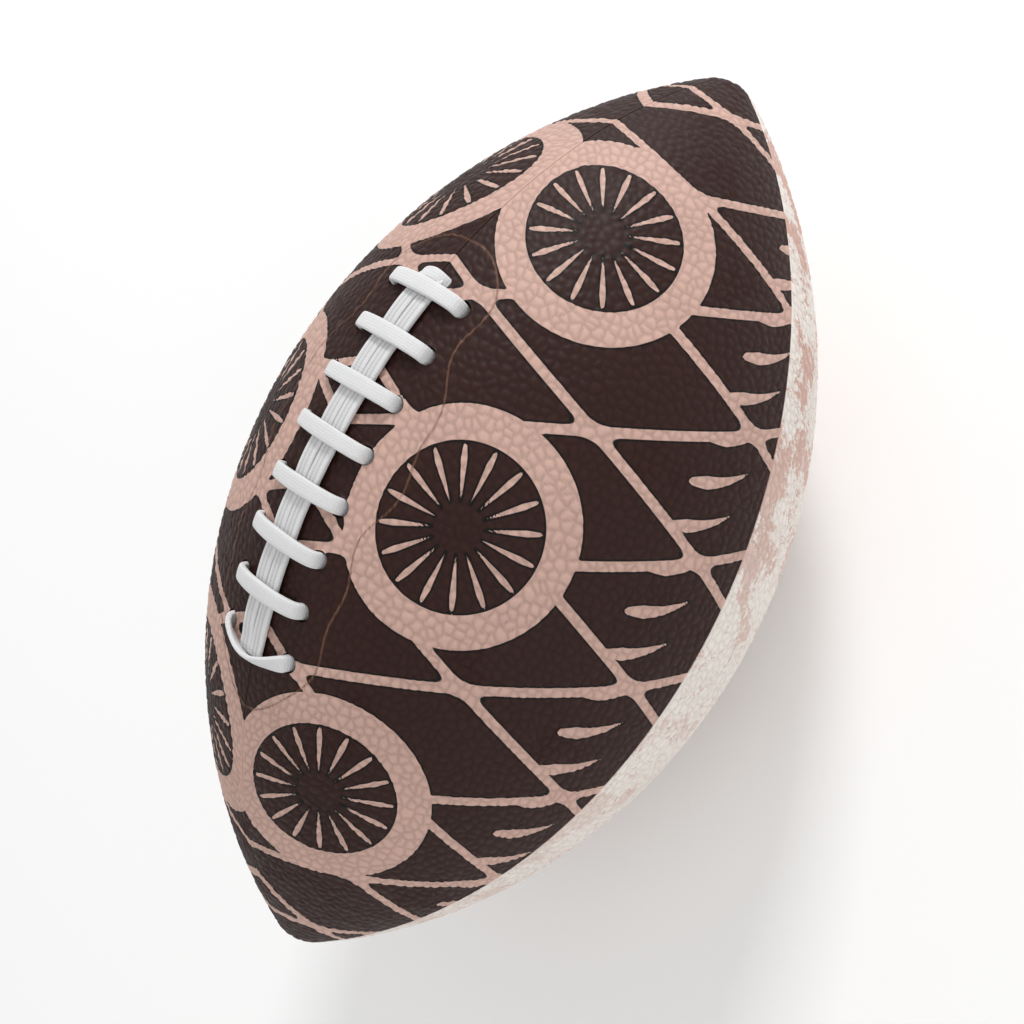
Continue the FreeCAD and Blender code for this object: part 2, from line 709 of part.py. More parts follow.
def make_threads(runs):
    """Two threads on each run of sewing, one on each side, which meet in the stitch holes."""
    for run in runs:
        run.thread("needle_thread", -1)
        run.thread("bobbin_thread", 1)


def check():
    """Stops the build if an object failed or a piece has no whole solid."""
    failed = [o.Name for o in doc.Objects if {"Invalid", "Error"} & set(o.State)]
    bad = [o.Label for o in PIECES if o.Shape.isNull() or not o.Shape.isValid() or not o.Shape.Solids]
    if failed or bad:
        raise RuntimeError(f"failed objects {failed}, bad pieces {bad}")


def export():
    """Writes each piece to parts/ and prints its solids and volume."""
    os.makedirs("parts", exist_ok=True)
    for piece in PIECES:
        piece.Shape.exportStep(f"parts/{piece.Label}.step")
        print(f"{piece.Label:28s} solids {len(piece.Shape.Solids)}  volume {piece.Shape.Volume:10.1f}")


def main():
    """Builds the ball from its outlines outwards, checks it and exports it."""
    forms, shells = make_layers()
    valve_holes = make_valve_holes()
    lacing = make_lace_holes()
    runs = make_sewing()
    make_covers(shells, runs, lacing, valve_holes)
    make_backing(shells, lacing, valve_holes)
    make_bladder(forms, shells, valve_holes)
    make_valve(shells)
    make_lace()
    make_threads(runs)
    doc.recompute()
    check()
    export()


main()
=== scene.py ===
"""The looks of a laced football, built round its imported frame.

The ball lies along X with its lacing on top, and its centre is the origin. Sizes in the classes are in
millimetres, and become metres where a mesh is made. A place on a cover is given on the flat sheet that the
cover is cut from: how far along the ball it lies, and how far across from the lacing's seam.
"""

import json
import logging
import math
from collections.abc import Callable, Sequence
from dataclasses import dataclass
from enum import Enum

import bpy
import numpy as np
from mathutils import Matrix, Vector


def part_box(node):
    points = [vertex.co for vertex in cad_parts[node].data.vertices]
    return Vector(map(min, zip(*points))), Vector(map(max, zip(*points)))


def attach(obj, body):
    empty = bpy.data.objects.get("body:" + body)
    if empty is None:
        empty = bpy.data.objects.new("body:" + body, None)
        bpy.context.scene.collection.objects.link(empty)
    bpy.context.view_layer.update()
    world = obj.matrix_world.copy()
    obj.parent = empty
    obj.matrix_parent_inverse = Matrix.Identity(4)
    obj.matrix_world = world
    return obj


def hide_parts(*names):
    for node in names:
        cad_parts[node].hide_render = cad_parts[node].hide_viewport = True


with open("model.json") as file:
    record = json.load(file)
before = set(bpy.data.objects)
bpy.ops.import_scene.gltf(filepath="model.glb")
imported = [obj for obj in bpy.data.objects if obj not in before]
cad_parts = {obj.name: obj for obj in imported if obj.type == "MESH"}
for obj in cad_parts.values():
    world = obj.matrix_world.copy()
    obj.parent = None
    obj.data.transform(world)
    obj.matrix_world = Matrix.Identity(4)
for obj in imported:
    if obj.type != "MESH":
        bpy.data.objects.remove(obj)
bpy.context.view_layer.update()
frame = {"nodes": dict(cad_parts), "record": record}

MM = 0.001
QUARTER_TURN = math.pi / 2
FAR = 1000.0
TINY = 1e-6
LOG = logging.getLogger("football")
Point = tuple[float, float]
Point3 = tuple[float, float, float]
Colour = tuple[float, float, float]


# ---------------------------------------------------------------------------------------------- outline


class Quarter(Enum):
    """The quarter of the ball that a cover closes, in quarter turns from the top towards the front."""

    TOP_FRONT = 0
    BOTTOM_FRONT = 1
    BOTTOM_BACK = 2
    TOP_BACK = 3

    @property
    def node(self) -> str:
        """The CAD node of this quarter's cover."""
        return f"cover_{self.name.lower()}"


@dataclass(frozen=True)
class Outline:
    """The ball's outline: one long arc, with a small arc at each nose."""

    half_length: float
    belly: float
    nose: float = 13.5
    seam_gap: float = 0.05

    @property
    def nose_x(self) -> float:
        """Where the nose arc's centre lies on the axis."""
        return self.half_length - self.nose

    @property
    def arc(self) -> float:
        """The long arc's radius."""
        return (self.nose_x**2 / (self.belly - self.nose) + self.belly + self.nose) / 2

    @property
    def sink(self) -> float:
        """How far the long arc's centre lies below the axis."""
        return self.arc - self.belly

    @property
    def half_turn(self) -> float:
        """The angle from the middle to the end of the long arc."""
        return math.asin(self.nose_x / (self.arc - self.nose))

    @property
    def arc_reach(self) -> float:
        """The surface length from the middle to the end of the long arc."""
        return self.arc * self.half_turn

    @property
    def reach(self) -> float:
        """The surface length from the middle to a nose."""
        return self.arc_reach + self.nose * (QUARTER_TURN - self.half_turn)

    @property
    def panel_width(self) -> float:
        """The width of a cover across the belly."""
        return QUARTER_TURN * self.belly

    def station(self, along: np.ndarray, lift: np.ndarray) -> tuple[np.ndarray, np.ndarray]:
        """Finds the place on the axis and the radius of points on the outline.

        Args:
            along: surface lengths from the middle, positive towards +X.
            lift: heights above the surface.

        Returns:
            The places along X and the radii.
        """
        near = np.abs(along)
        on_nose = near > self.arc_reach
        past = (near - self.arc_reach) / self.nose
        turn = np.where(on_nose, self.half_turn + past, near / self.arc)
        radius = np.where(on_nose, self.nose, self.arc) + lift
        x = np.where(on_nose, self.nose_x, 0.0) + radius * np.sin(turn)
        r = np.where(on_nose, 0.0, -self.sink) + radius * np.cos(turn)
        return np.sign(along) * x, np.maximum(r, 0.0)

    def place(self, quarter: Quarter, along: np.ndarray, turn: np.ndarray, lift: np.ndarray) -> np.ndarray:
        """Finds points of one quarter in space.

        Args:
            quarter: the quarter of the ball.
            along: surface lengths from the middle.
            turn: angles from the quarter's first seam, from 0 to a quarter turn.
            lift: heights above the surface.

        Returns:
            The points, one per row.
        """
        x, r = self.station(along, lift)
        r = np.maximum(r - self.seam_gap, 0.0)
        first = r * np.cos(turn) + self.seam_gap
        second = r * np.sin(turn) + self.seam_gap
        start = quarter.value * QUARTER_TURN
        y = -first * math.sin(start) - second * math.cos(start)
        z = first * math.cos(start) - second * math.sin(start)
        return np.stack([x, y, z], axis=1)

    def on_lacing(self, along: float, side: float, lift: float) -> Vector:
        """A point near the top seam, in the long arc's own frame of angle, side and height."""
        turn = along / self.arc
        radius = self.arc + lift
        return Vector((radius * math.sin(turn), side, radius * math.cos(turn) - self.sink))


# ------------------------------------------------------------------------------------------ mesh helpers


def zip_rows(
    first: np.ndarray, second: np.ndarray, at_first: np.ndarray, at_second: np.ndarray
) -> np.ndarray:
    """Joins two rows of points with triangles.

    Args:
        first: indices of the points in the first row.
        second: indices of the points in the second row.
        at_first: where each point of the first row lies along it, increasing.
        at_second: the same for the second row.

    Returns:
        Triangles, one per row.
    """
    key_a = (at_first[1:] + at_first[:-1]) / 2
    key_b = (at_second[1:] + at_second[:-1]) / 2
    order = np.argsort(np.concatenate([key_a, key_b]), kind="stable")
    is_a = order < len(key_a)
    done_a, done_b = np.cumsum(is_a), np.cumsum(~is_a)
    a_now, b_now = first[done_a], second[done_b]
    third = np.where(is_a, first[np.maximum(done_a - 1, 0)], second[np.maximum(done_b - 1, 0)])
    return np.where(
        is_a[:, None], np.stack([third, a_now, b_now], axis=1), np.stack([a_now, b_now, third], axis=1)
    )


def make_mesh(name: str, points: np.ndarray, faces: Sequence[Sequence[int]] | np.ndarray) -> bpy.types.Object:
    """Makes a smooth mesh object at the origin.

    Args:
        name: the object's name.
        points: the points in millimetres, one per row.
        faces: the faces, as indices of points.

    Returns:
        The object, linked to the scene.
    """
    mesh = bpy.data.meshes.new(name)
    listed = faces.tolist() if isinstance(faces, np.ndarray) else faces
    mesh.from_pydata((np.asarray(points) * MM).tolist(), [], listed)
    mesh.validate()
    mesh.update()
    mesh.shade_smooth()
    made = bpy.data.objects.new(name, mesh)
    bpy.context.scene.collection.objects.link(made)
    return made


def add_attribute(made: bpy.types.Object, name: str, values: np.ndarray) -> None:
    """Stores one number or one vector for each point of a mesh.

    Args:
        made: the mesh object.
        name: the attribute's name.
        values: one number, or one row of three, for each point.
    """
    is_vector = values.ndim == 2
    kind, key = ("FLOAT_VECTOR", "vector") if is_vector else ("FLOAT", "value")
    attribute = made.data.attributes.new(name, kind, "POINT")
    attribute.data.foreach_set(key, np.ascontiguousarray(values, dtype=np.float32).ravel())


def boundary_loop(triangles: np.ndarray, near: np.ndarray) -> np.ndarray:
    """Finds the loop of edges round a hole.

    Args:
        triangles: the triangles that are left.
        near: for each point, whether it may lie on the loop.

    Returns:
        The indices of the loop's points, in order.
    """
    edges = np.concatenate([triangles[:, [0, 1]], triangles[:, [1, 2]], triangles[:, [2, 0]]])
    edges = edges[near[edges].all(axis=1)]
    known = {(a, b) for a, b in edges.tolist()}
    following = {a: b for a, b in known if (b, a) not in known}
    start = min(following)
    loop = [start]
    while following[loop[-1]] != start:
        loop.append(following[loop[-1]])
    return np.array(loop)


def smooth_path(corners: np.ndarray, count: int, rounds: int) -> np.ndarray:
    """Rounds a route by cutting its corners again and again, and spaces points evenly along it.

    Args:
        corners: the route's corners, one per row.
        count: how many points to return.
        rounds: how many times the corners are cut.

    Returns:
        The points.
    """
    route = np.asarray(corners, dtype=float)
    for _ in range(rounds):
        first = route[:-1] * 0.75 + route[1:] * 0.25
        second = route[:-1] * 0.25 + route[1:] * 0.75
        middle = np.stack([first, second], axis=1).reshape(-1, route.shape[1])
        route = np.concatenate([route[:1], middle, route[-1:]])
    gone = lengths_along(route)
    wanted = np.linspace(0.0, gone[-1], count)
    return np.stack([np.interp(wanted, gone, route[:, n]) for n in range(route.shape[1])], axis=1)


def lengths_along(route: np.ndarray) -> np.ndarray:
    """The length of a route up to each of its points."""
    return np.concatenate([[0.0], np.cumsum(np.linalg.norm(np.diff(route, axis=0), axis=1))])


def unit_rows(rows: np.ndarray) -> np.ndarray:
    """Vectors made one long."""
    return rows / np.linalg.norm(rows, axis=1)[:, None]


def mirrored(
    half: Sequence[Sequence[float]], axis: int, middle: Sequence[Sequence[float]] = ()
) -> np.ndarray:
    """Completes a symmetrical route from its first half.

    Args:
        half: the corners of the first half.
        axis: the coordinate that changes sign in the second half.
        middle: corners between the halves.

    Returns:
        All the corners.
    """
    first = np.array(half)
    second = first[::-1].copy()
    second[:, axis] *= -1
    return np.concatenate([first, *(np.array([spot]) for spot in middle), second])


# -------------------------------------------------------------------------------------------- the print


@dataclass(frozen=True)
class Strap:
    """A straight band between two points."""

    start: Point
    end: Point
    width: float

    def distance(self, spot: np.ndarray) -> np.ndarray:
        """The signed distance of points from the strap's edge, negative inside."""
        a, b = np.array(self.start), np.array(self.end)
        run = b - a
        share = np.clip((spot - a) @ run / (run @ run), 0.0, 1.0)
        return np.linalg.norm(spot - a - share[:, None] * run, axis=1) - self.width / 2


@dataclass(frozen=True)
class Ring:
    """A plain ring."""

    centre: Point
    radius: float
    width: float

    def distance(self, spot: np.ndarray) -> np.ndarray:
        """The signed distance of points from the ring's edge, negative inside."""
        away = np.linalg.norm(spot - np.array(self.centre), axis=1)
        return np.abs(away - self.radius) - self.width / 2


@dataclass(frozen=True)
class Leaf:
    """A stroke that is widest near its start and runs out to a point, bent sideways if asked."""

    start: Point
    end: Point
    width: float
    bend: float = 0.0
    root: float = 0.45
    swell: float = 2.2
    taper: float = 0.75

    def distance(self, spot: np.ndarray) -> np.ndarray:
        """The signed distance of points from the leaf's edge, negative inside."""
        a, b = np.array(self.start), np.array(self.end)
        run = b - a
        length = float(np.linalg.norm(run))
        ahead = run / length
        side = np.array([-ahead[1], ahead[0]])
        along = (spot - a) @ ahead / length
        share = np.clip(along, 0.0, 1.0)
        middle = self.bend * np.sin(math.pi * share)
        across = (spot - a) @ side - middle
        opening = np.minimum(1.0, self.root + self.swell * share)
        past = np.abs(across) - self.width / 2 * (1.0 - share) ** self.taper * opening
        beyond = (along - share) * length
        return np.hypot(np.maximum(past, 0.0), beyond) + np.minimum(past, 0.0)


def melt(a: np.ndarray, b: np.ndarray, reach: float) -> np.ndarray:
    """The union of two signed distances, with a fillet where they meet."""
    share = np.clip(0.5 + 0.5 * (b - a) / reach, 0.0, 1.0)
    return b + (a - b) * share - reach * share * (1.0 - share)


@dataclass(frozen=True)
class SheetPrint:
    """The print of one sheet: a lattice of straps, three rings with rays in them, and a border of leaves.

    The side is 1 on the front sheet and -1 on the back one.
    """

    side: int
    half_length: float = 180.0
    depth: float = 126.0
    strap_spacing: float = 36.0
    strap_lean: float = 27.0
    strap_width: float = 2.6
    fillet: float = 3.2
    ring_spacing: float = 84.0
    ring_row: float = 44.0
    ring_radius: float = 26.0
    ring_width: float = 9.0
    rays: int = 16
    ray_width: float = 2.0
    ray_start: float = 0.78
    ray_end: float = 0.25
    leaf_spacing: float = 12.0
    leaf_row: float = 92.0
    leaf_length: float = 17.0
    leaf_width: float = 4.4
    leaf_bend: float = 1.2

    @property
    def centres(self) -> tuple[Point, ...]:
        """The middles of the rings, evenly spaced along the sheet."""
        return tuple((n * self.ring_spacing, self.side * self.ring_row) for n in (-1, 0, 1))

    def lattice(self) -> tuple[Strap, ...]:
        """Evenly spaced straps that cross the sheet in two directions."""
        places = np.arange(-self.half_length, self.half_length + self.strap_spacing, self.strap_spacing)
        return tuple(
            Strap((x - lean, 0.0), (x + lean, self.side * self.depth), self.strap_width)
            for x in places.tolist()
            for lean in (-self.strap_lean, self.strap_lean)
        )

    def rings(self) -> tuple[Ring, ...]:
        """Three equal rings."""
        return tuple(Ring(centre, self.ring_radius, self.ring_width) for centre in self.centres)

    def fields(self) -> tuple[Ring, ...]:
        """The round fields inside the rings."""
        inner = self.ring_radius - self.ring_width / 2
        return tuple(Ring(centre, inner / 2, inner) for centre in self.centres)

    def ray(self, centre: Point, turn: float) -> Leaf:
        """One stroke that points at the middle of a ring."""
        ends = [
            (centre[0] + reach * math.cos(turn), centre[1] + reach * math.sin(turn))
            for reach in (self.ring_radius * self.ray_start, self.ring_radius * self.ray_end)
        ]
        return Leaf(*ends, self.ray_width)

    def strokes(self) -> tuple[Leaf, ...]:
        """The rays of all the rings, then the border's slanted leaves."""
        turns = [math.tau * n / self.rays for n in range(self.rays)]
        rays = tuple(self.ray(centre, turn) for centre in self.centres for turn in turns)
        top = self.side * (self.leaf_row + self.leaf_length)
        border = tuple(
            Leaf(
                (x, self.side * self.leaf_row),
                (x + self.leaf_length / 2, top),
                self.leaf_width,
                self.leaf_bend,
            )
            for x in np.arange(-self.half_length, self.half_length, self.leaf_spacing).tolist()
        )
        return rays + border

    def distance(self, spot: np.ndarray) -> np.ndarray:
        """Measures how far places on the sheet lie from the print's edge.

        Args:
            spot: places on the flat sheet, one per row.

        Returns:
            The signed distances, negative where the sheet is printed.
        """
        found = np.full(len(spot), FAR)
        for shapes in (self.lattice(), self.rings()):
            melted = np.full(len(spot), FAR)
            for shape in shapes:
                melted = melt(melted, shape.distance(spot), self.fillet)
            found = np.minimum(found, melted)
        for shape in self.fields():
            found = np.maximum(found, -shape.distance(spot))
        for shape in self.strokes():
            found = np.minimum(found, shape.distance(spot))
        return found


@dataclass(frozen=True)
class StayShadeLine:
    """The faint line of painted shade where a lace stay's edge shows through the cover."""

    middle: float = -4.0
    half_length: float = 70.0
    half_width: float = 25.5
    corner: float = 14.0
    ripple: float = 1.9
    long_wave: float = 9.0
    short_wave: float = 4.1
    short_share: float = 0.6

    def distance(self, spot: np.ndarray) -> np.ndarray:
        """How far places on the sheet lie from the line, never negative."""
        along = spot[:, 0] - self.middle
        short = self.short_share * self.ripple * np.sin(along / self.short_wave + 1.0)
        wave = self.ripple * np.sin(along / self.long_wave) + short
        across = np.abs(spot[:, 1]) - wave
        edge = np.array([self.half_length, self.half_width])
        beyond_edge = np.abs(np.stack([along, across], axis=1)) - edge + self.corner
        outside = np.linalg.norm(np.maximum(beyond_edge, 0.0), axis=1)
        return np.abs(outside + np.minimum(beyond_edge.max(axis=1), 0.0) - self.corner)


# ------------------------------------------------------------------------------------- nodes and finishes


class Nodes:
    """A node tree under construction."""

    def __init__(self, tree: bpy.types.NodeTree) -> None:
        """Starts on an empty or existing tree."""
        self.tree = tree

    def add(self, kind: str, settings: dict[str, object] | None = None, **inputs: object) -> bpy.types.Node:
        """Adds a node.

        Args:
            kind: the node's type.
            settings: its properties.
            **inputs: its input sockets by name, with spaces as underscores: a value, or a socket to link.

        Returns:
            The node.
        """
        node = self.tree.nodes.new(kind)
        for key, value in (settings or {}).items():
            setattr(node, key, value)
        for key, value in inputs.items():
            self.feed(node, key.replace("_", " "), value)
        return node

    def feed(self, node: bpy.types.Node, name: str | int, value: object) -> None:
        """Sets an input socket, or links it to an output."""
        socket = node.inputs[name]
        if isinstance(value, bpy.types.NodeSocket):
            self.tree.links.new(value, socket)
        else:
            socket.default_value = value

    def math(self, operation: str, *values: object, clamp: bool = False) -> bpy.types.NodeSocket:
        """The result of a Math node."""
        node = self.tree.nodes.new("ShaderNodeMath")
        node.operation, node.use_clamp = operation, clamp
        for n, value in enumerate(values):
            self.feed(node, n, value)
        return node.outputs[0]

    def ramp(self, value: object, low: float, high: float) -> bpy.types.NodeSocket:
        """A smooth step from 0 at low to 1 at high, or down from 1 where low is above high."""
        rising = low < high
        node = self.add("ShaderNodeMapRange", {"interpolation_type": "SMOOTHSTEP"})
        ends = (low, high, 0.0, 1.0) if rising else (high, low, 1.0, 0.0)
        self.feed(node, "Value", value)
        for name, end in zip(("From Min", "From Max", "To Min", "To Max"), ends):
            self.feed(node, name, end)
        return node.outputs["Result"]

    def mix(self, share: object, first: object, second: object, blend: str = "MIX") -> bpy.types.NodeSocket:
        """Mixes two colours."""
        node = self.add("ShaderNodeMix", {"data_type": "RGBA", "blend_type": blend})
        for n, value in ((0, share), (6, first), (7, second)):
            if isinstance(value, tuple):
                value = (*value, 1.0)
            self.feed(node, n, value)
        return node.outputs[2]

    def tint(self, colour: object, tone: object) -> bpy.types.NodeSocket:
        """Multiplies a colour by a tone."""
        grey = self.add("ShaderNodeCombineColor", Red=tone, Green=tone, Blue=tone)
        return self.mix(1.0, colour, grey.outputs["Color"], "MULTIPLY")

    def vector_math(self, operation: str, first: object, second: object) -> bpy.types.NodeSocket:
        """The result of a Vector Math node, where a scale's second value is a number."""
        node = self.add("ShaderNodeVectorMath", {"operation": operation})
        self.feed(node, 0, first)
        self.feed(node, "Scale" if operation == "SCALE" else 1, second)
        return node.outputs["Vector"]

    def attribute(self, name: str, vector: bool = False) -> bpy.types.NodeSocket:
        """An attribute of the mesh, as a number or a vector."""
        node = self.add("ShaderNodeAttribute", {"attribute_name": name})
        return node.outputs["Vector" if vector else "Fac"]

    def group(self, tree: bpy.types.NodeTree, **inputs: object) -> bpy.types.Node:
        """Places a shared effect."""
        node = self.tree.nodes.new("ShaderNodeGroup")
        node.node_tree = tree
        for key, value in inputs.items():
            self.feed(node, key.replace("_", " "), value)
        return node


@dataclass(frozen=True)
class Effect:
    """A shared shader node group with named inputs and outputs."""

    name: str
    inputs: tuple[tuple[str, str, float], ...]
    outputs: tuple[str, ...]
    fill: Callable[[Nodes, bpy.types.Node, bpy.types.Node], None]

    def make(self) -> bpy.types.NodeTree:
        """Builds the group once, and returns it."""
        known = bpy.data.node_groups.get(self.name)
        if known is not None:
            return known
        tree = bpy.data.node_groups.new(self.name, "ShaderNodeTree")
        for name, kind, value in self.inputs:
            socket = tree.interface.new_socket(name, in_out="INPUT", socket_type=kind)
            if kind == "NodeSocketFloat":
                socket.default_value = value
        for name in self.outputs:
            tree.interface.new_socket(name, in_out="OUTPUT", socket_type="NodeSocketFloat")
        nodes = Nodes(tree)
        self.fill(nodes, nodes.add("NodeGroupInput"), nodes.add("NodeGroupOutput"))
        return tree

    def use(self, nodes: Nodes, **inputs: object) -> bpy.types.NodeSocket:
        """Places the effect in a tree, and returns its first output."""
        return nodes.group(self.make(), **inputs).outputs[0]


def fill_pores(nodes: Nodes, given: bpy.types.Node, out: bpy.types.Node) -> None:
    """Fine pores and wrinkles between the pebbles of a pressed leather grain."""
    place, scale = given.outputs["Place"], given.outputs["Scale"]
    wrinkle = nodes.add("ShaderNodeTexNoise", Vector=place, Scale=scale, Detail=4.0, Roughness=0.6)
    fine_scale = nodes.math("MULTIPLY", scale, 3.1)
    pore = nodes.add("ShaderNodeTexVoronoi", {"feature": "SMOOTH_F1"}, Vector=place, Scale=fine_scale)
    nodes.feed(pore, "Smoothness", 0.6)
    pit = nodes.ramp(pore.outputs["Distance"], 0.0, 0.45)
    wrinkles = nodes.math("MULTIPLY", wrinkle.outputs["Fac"], 0.7)
    nodes.feed(out, "Height", nodes.math("ADD", wrinkles, nodes.math("MULTIPLY", pit, 0.3)))


def fill_drift(nodes: Nodes, given: bpy.types.Node, out: bpy.types.Node) -> None:
    """A slow drift of tone, for colour and roughness that aren't quite even."""
    place, scale = given.outputs["Place"], given.outputs["Scale"]
    noise = nodes.add("ShaderNodeTexNoise", Vector=place, Scale=scale, Detail=3.0, Roughness=0.55)
    centred = nodes.math("SUBTRACT", noise.outputs["Fac"], 0.5)
    nodes.feed(out, "Tone", nodes.math("ADD", nodes.math("MULTIPLY", centred, given.outputs["Amount"]), 1.0))


def fill_weave(nodes: Nodes, given: bpy.types.Node, out: bpy.types.Node) -> None:
    """Warp and weft threads that pass over and under each other."""
    parts = nodes.add("ShaderNodeSeparateXYZ", Vector=given.outputs["Place"])
    turn = nodes.math("MULTIPLY", given.outputs["Threads"], math.tau / 2)
    along = nodes.math("MULTIPLY", parts.outputs["X"], turn)
    across = nodes.math("MULTIPLY", parts.outputs["Y"], turn)
    warp = nodes.math("ABSOLUTE", nodes.math("SINE", along))
    weft = nodes.math("ABSOLUTE", nodes.math("SINE", across))
    over = nodes.math("MULTIPLY", nodes.math("COSINE", along), nodes.math("COSINE", across))
    side = nodes.ramp(over, -0.25, 0.25)
    lower = nodes.math("MULTIPLY", warp, nodes.math("SUBTRACT", 1.0, side))
    nodes.feed(out, "Height", nodes.math("ADD", lower, nodes.math("MULTIPLY", weft, side)))
    nodes.feed(out, "Over", side)


def fill_scuff(nodes: Nodes, given: bpy.types.Node, out: bpy.types.Node) -> None:
    """Rubbed places, broken up by a fine noise."""
    place, scale = given.outputs["Place"], given.outputs["Scale"]
    broad = nodes.add("ShaderNodeTexNoise", Vector=place, Scale=scale, Detail=2.0)
    fine_scale = nodes.math("MULTIPLY", scale, 9.0)
    fine = nodes.add("ShaderNodeTexNoise", Vector=place, Scale=fine_scale, Detail=5.0, Roughness=0.7)
    both = nodes.math("ADD", broad.outputs["Fac"], nodes.math("MULTIPLY", fine.outputs["Fac"], 0.6))
    worn = nodes.ramp(both, 0.85, 1.0)
    nodes.feed(out, "Mask", nodes.math("MULTIPLY", worn, given.outputs["Amount"]))


PLACE = ("Place", "NodeSocketVector", 0.0)
PORES = Effect("pores", (PLACE, ("Scale", "NodeSocketFloat", 900.0)), ("Height",), fill_pores)
DRIFT = Effect(
    "tone_drift",
    (PLACE, ("Scale", "NodeSocketFloat", 20.0), ("Amount", "NodeSocketFloat", 0.2)),
    ("Tone",),
    fill_drift,
)
WEAVE = Effect("weave", (PLACE, ("Threads", "NodeSocketFloat", 1500.0)), ("Height", "Over"), fill_weave)
SCUFF = Effect(
    "scuff",
    (PLACE, ("Scale", "NodeSocketFloat", 30.0), ("Amount", "NodeSocketFloat", 0.3)),
    ("Mask",),
    fill_scuff,
)


def srgb(red: int, green: int, blue: int) -> Colour:
    """A linear colour from its eight-bit sRGB values."""

    def linear(value: int) -> float:
        """One channel."""
        share = value / 255
        return share / 12.92 if share <= 0.04045 else ((share + 0.055) / 1.055) ** 2.4

    return linear(red), linear(green), linear(blue)


@dataclass(frozen=True)
class Finish:
    """What every finish has: a name, a roughness and a place to put its nodes."""

    name: str
    roughness: float = 0.55
    specular: float = 0.4

    def make(self) -> bpy.types.Material:
        """Builds the material once, and returns it."""
        known = bpy.data.materials.get(self.name)
        if known is not None:
            return known
        material = bpy.data.materials.new(self.name)
        material.use_nodes = True
        tree = material.node_tree
        shader = tree.nodes["Principled BSDF"]
        shader.inputs["Roughness"].default_value = self.roughness
        shader.inputs["Specular IOR Level"].default_value = self.specular
        self.paint(Nodes(tree), shader)
        return material

    def paint(self, nodes: Nodes, shader: bpy.types.Node) -> None:
        """Adds the finish's own nodes."""
        raise NotImplementedError

    def bump(
        self, nodes: Nodes, shader: bpy.types.Node, height: object, depth: float, strength: float
    ) -> None:
        """Feeds the shader's normal from a height.

        Args:
            nodes: the tree.
            shader: the shader node.
            height: the socket with the height.
            depth: the height of 1, in millimetres.
            strength: the bump's strength.
        """
        node = nodes.add("ShaderNodeBump", Height=height, Strength=strength, Distance=depth * MM)
        nodes.feed(shader, "Normal", node.outputs["Normal"])


@dataclass(frozen=True)
class Leather(Finish):
    """What both leathers have: painted shade in the creases, drifting tone, rubbed places and fine pores."""

    # How strongly painted shade darkens the grain's creases.
    painted_crease_shade: float = 0.24
    drift_scale: float = 55.0
    drift_amount: float = 0.22
    scuff_scale: float = 40.0
    scuff_amount: float = 0.12
    pore_scale: float = 1100.0
    pore_depth: float = 0.09
    pore_strength: float = 0.55

    def with_painted_crease_shade(self, nodes: Nodes, place: object, base: object) -> bpy.types.NodeSocket:
        """A colour with painted shade in the creases and a drifting tone."""
        drift = DRIFT.use(nodes, Place=place, Scale=self.drift_scale, Amount=self.drift_amount)
        # Painted shade: the colour is darkened where the pebble grain has its creases.
        dark = nodes.math("MULTIPLY", nodes.attribute("crease"), self.painted_crease_shade)
        return nodes.tint(base, nodes.math("MULTIPLY", nodes.math("SUBTRACT", 1.0, dark), drift))

    def rubbed(self, nodes: Nodes, place: object) -> bpy.types.NodeSocket:
        """The roughness, higher in rubbed places."""
        mask = SCUFF.use(nodes, Place=place, Scale=self.scuff_scale, Amount=self.scuff_amount)
        return nodes.math("ADD", self.roughness, mask)

    def pores(self, nodes: Nodes, place: object) -> bpy.types.NodeSocket:
        """The height of the pores."""
        return PORES.use(nodes, Place=place, Scale=self.pore_scale)


@dataclass(frozen=True)
class PrintedLeather(Leather):
    """Pebbled leather with a dark ground and an outlined print."""

    ground: Colour = srgb(48, 23, 17)
    ink: Colour = srgb(204, 168, 155)
    outline: Colour = srgb(14, 6, 4)
    # The colour of the painted shade along the lace stay's edge.
    stay: Colour = srgb(120, 84, 66)
    outline_width: float = 0.55
    edge_blur: float = 0.09
    stay_shade_strength: float = 0.75
    crease_roughness: float = 0.1
    ink_edge: float = 0.25
    ink_height: float = 0.6

    def paint(self, nodes: Nodes, shader: bpy.types.Node) -> None:
        """Lays ink, outline and the painted shade along the stay's edge over the ground."""
        place, blur = nodes.attribute("sheet", vector=True), self.edge_blur
        gap = nodes.attribute("print_gap")
        lined = nodes.ramp(gap, self.outline_width + blur, self.outline_width - blur)
        base = nodes.mix(lined, self.ground, self.outline)
        base = nodes.mix(nodes.ramp(gap, blur, -blur), base, self.ink)
        # Painted shade: a faint line along the stay's edge, mixed towards the stay colour.
        stay = nodes.ramp(nodes.attribute("stay_shade_gap"), 0.5, 0.1)
        base = nodes.mix(nodes.math("MULTIPLY", stay, self.stay_shade_strength), base, self.stay)
        nodes.feed(shader, "Base Color", self.with_painted_crease_shade(nodes, place, base))
        creases = nodes.math("MULTIPLY", nodes.attribute("crease"), self.crease_roughness)
        nodes.feed(shader, "Roughness", nodes.math("ADD", self.rubbed(nodes, place), creases))
        ink = nodes.math("MULTIPLY", nodes.ramp(gap, self.ink_edge, -self.ink_edge), self.ink_height)
        height = nodes.math("ADD", self.pores(nodes, place), ink)
        self.bump(nodes, shader, height, self.pore_depth, self.pore_strength)


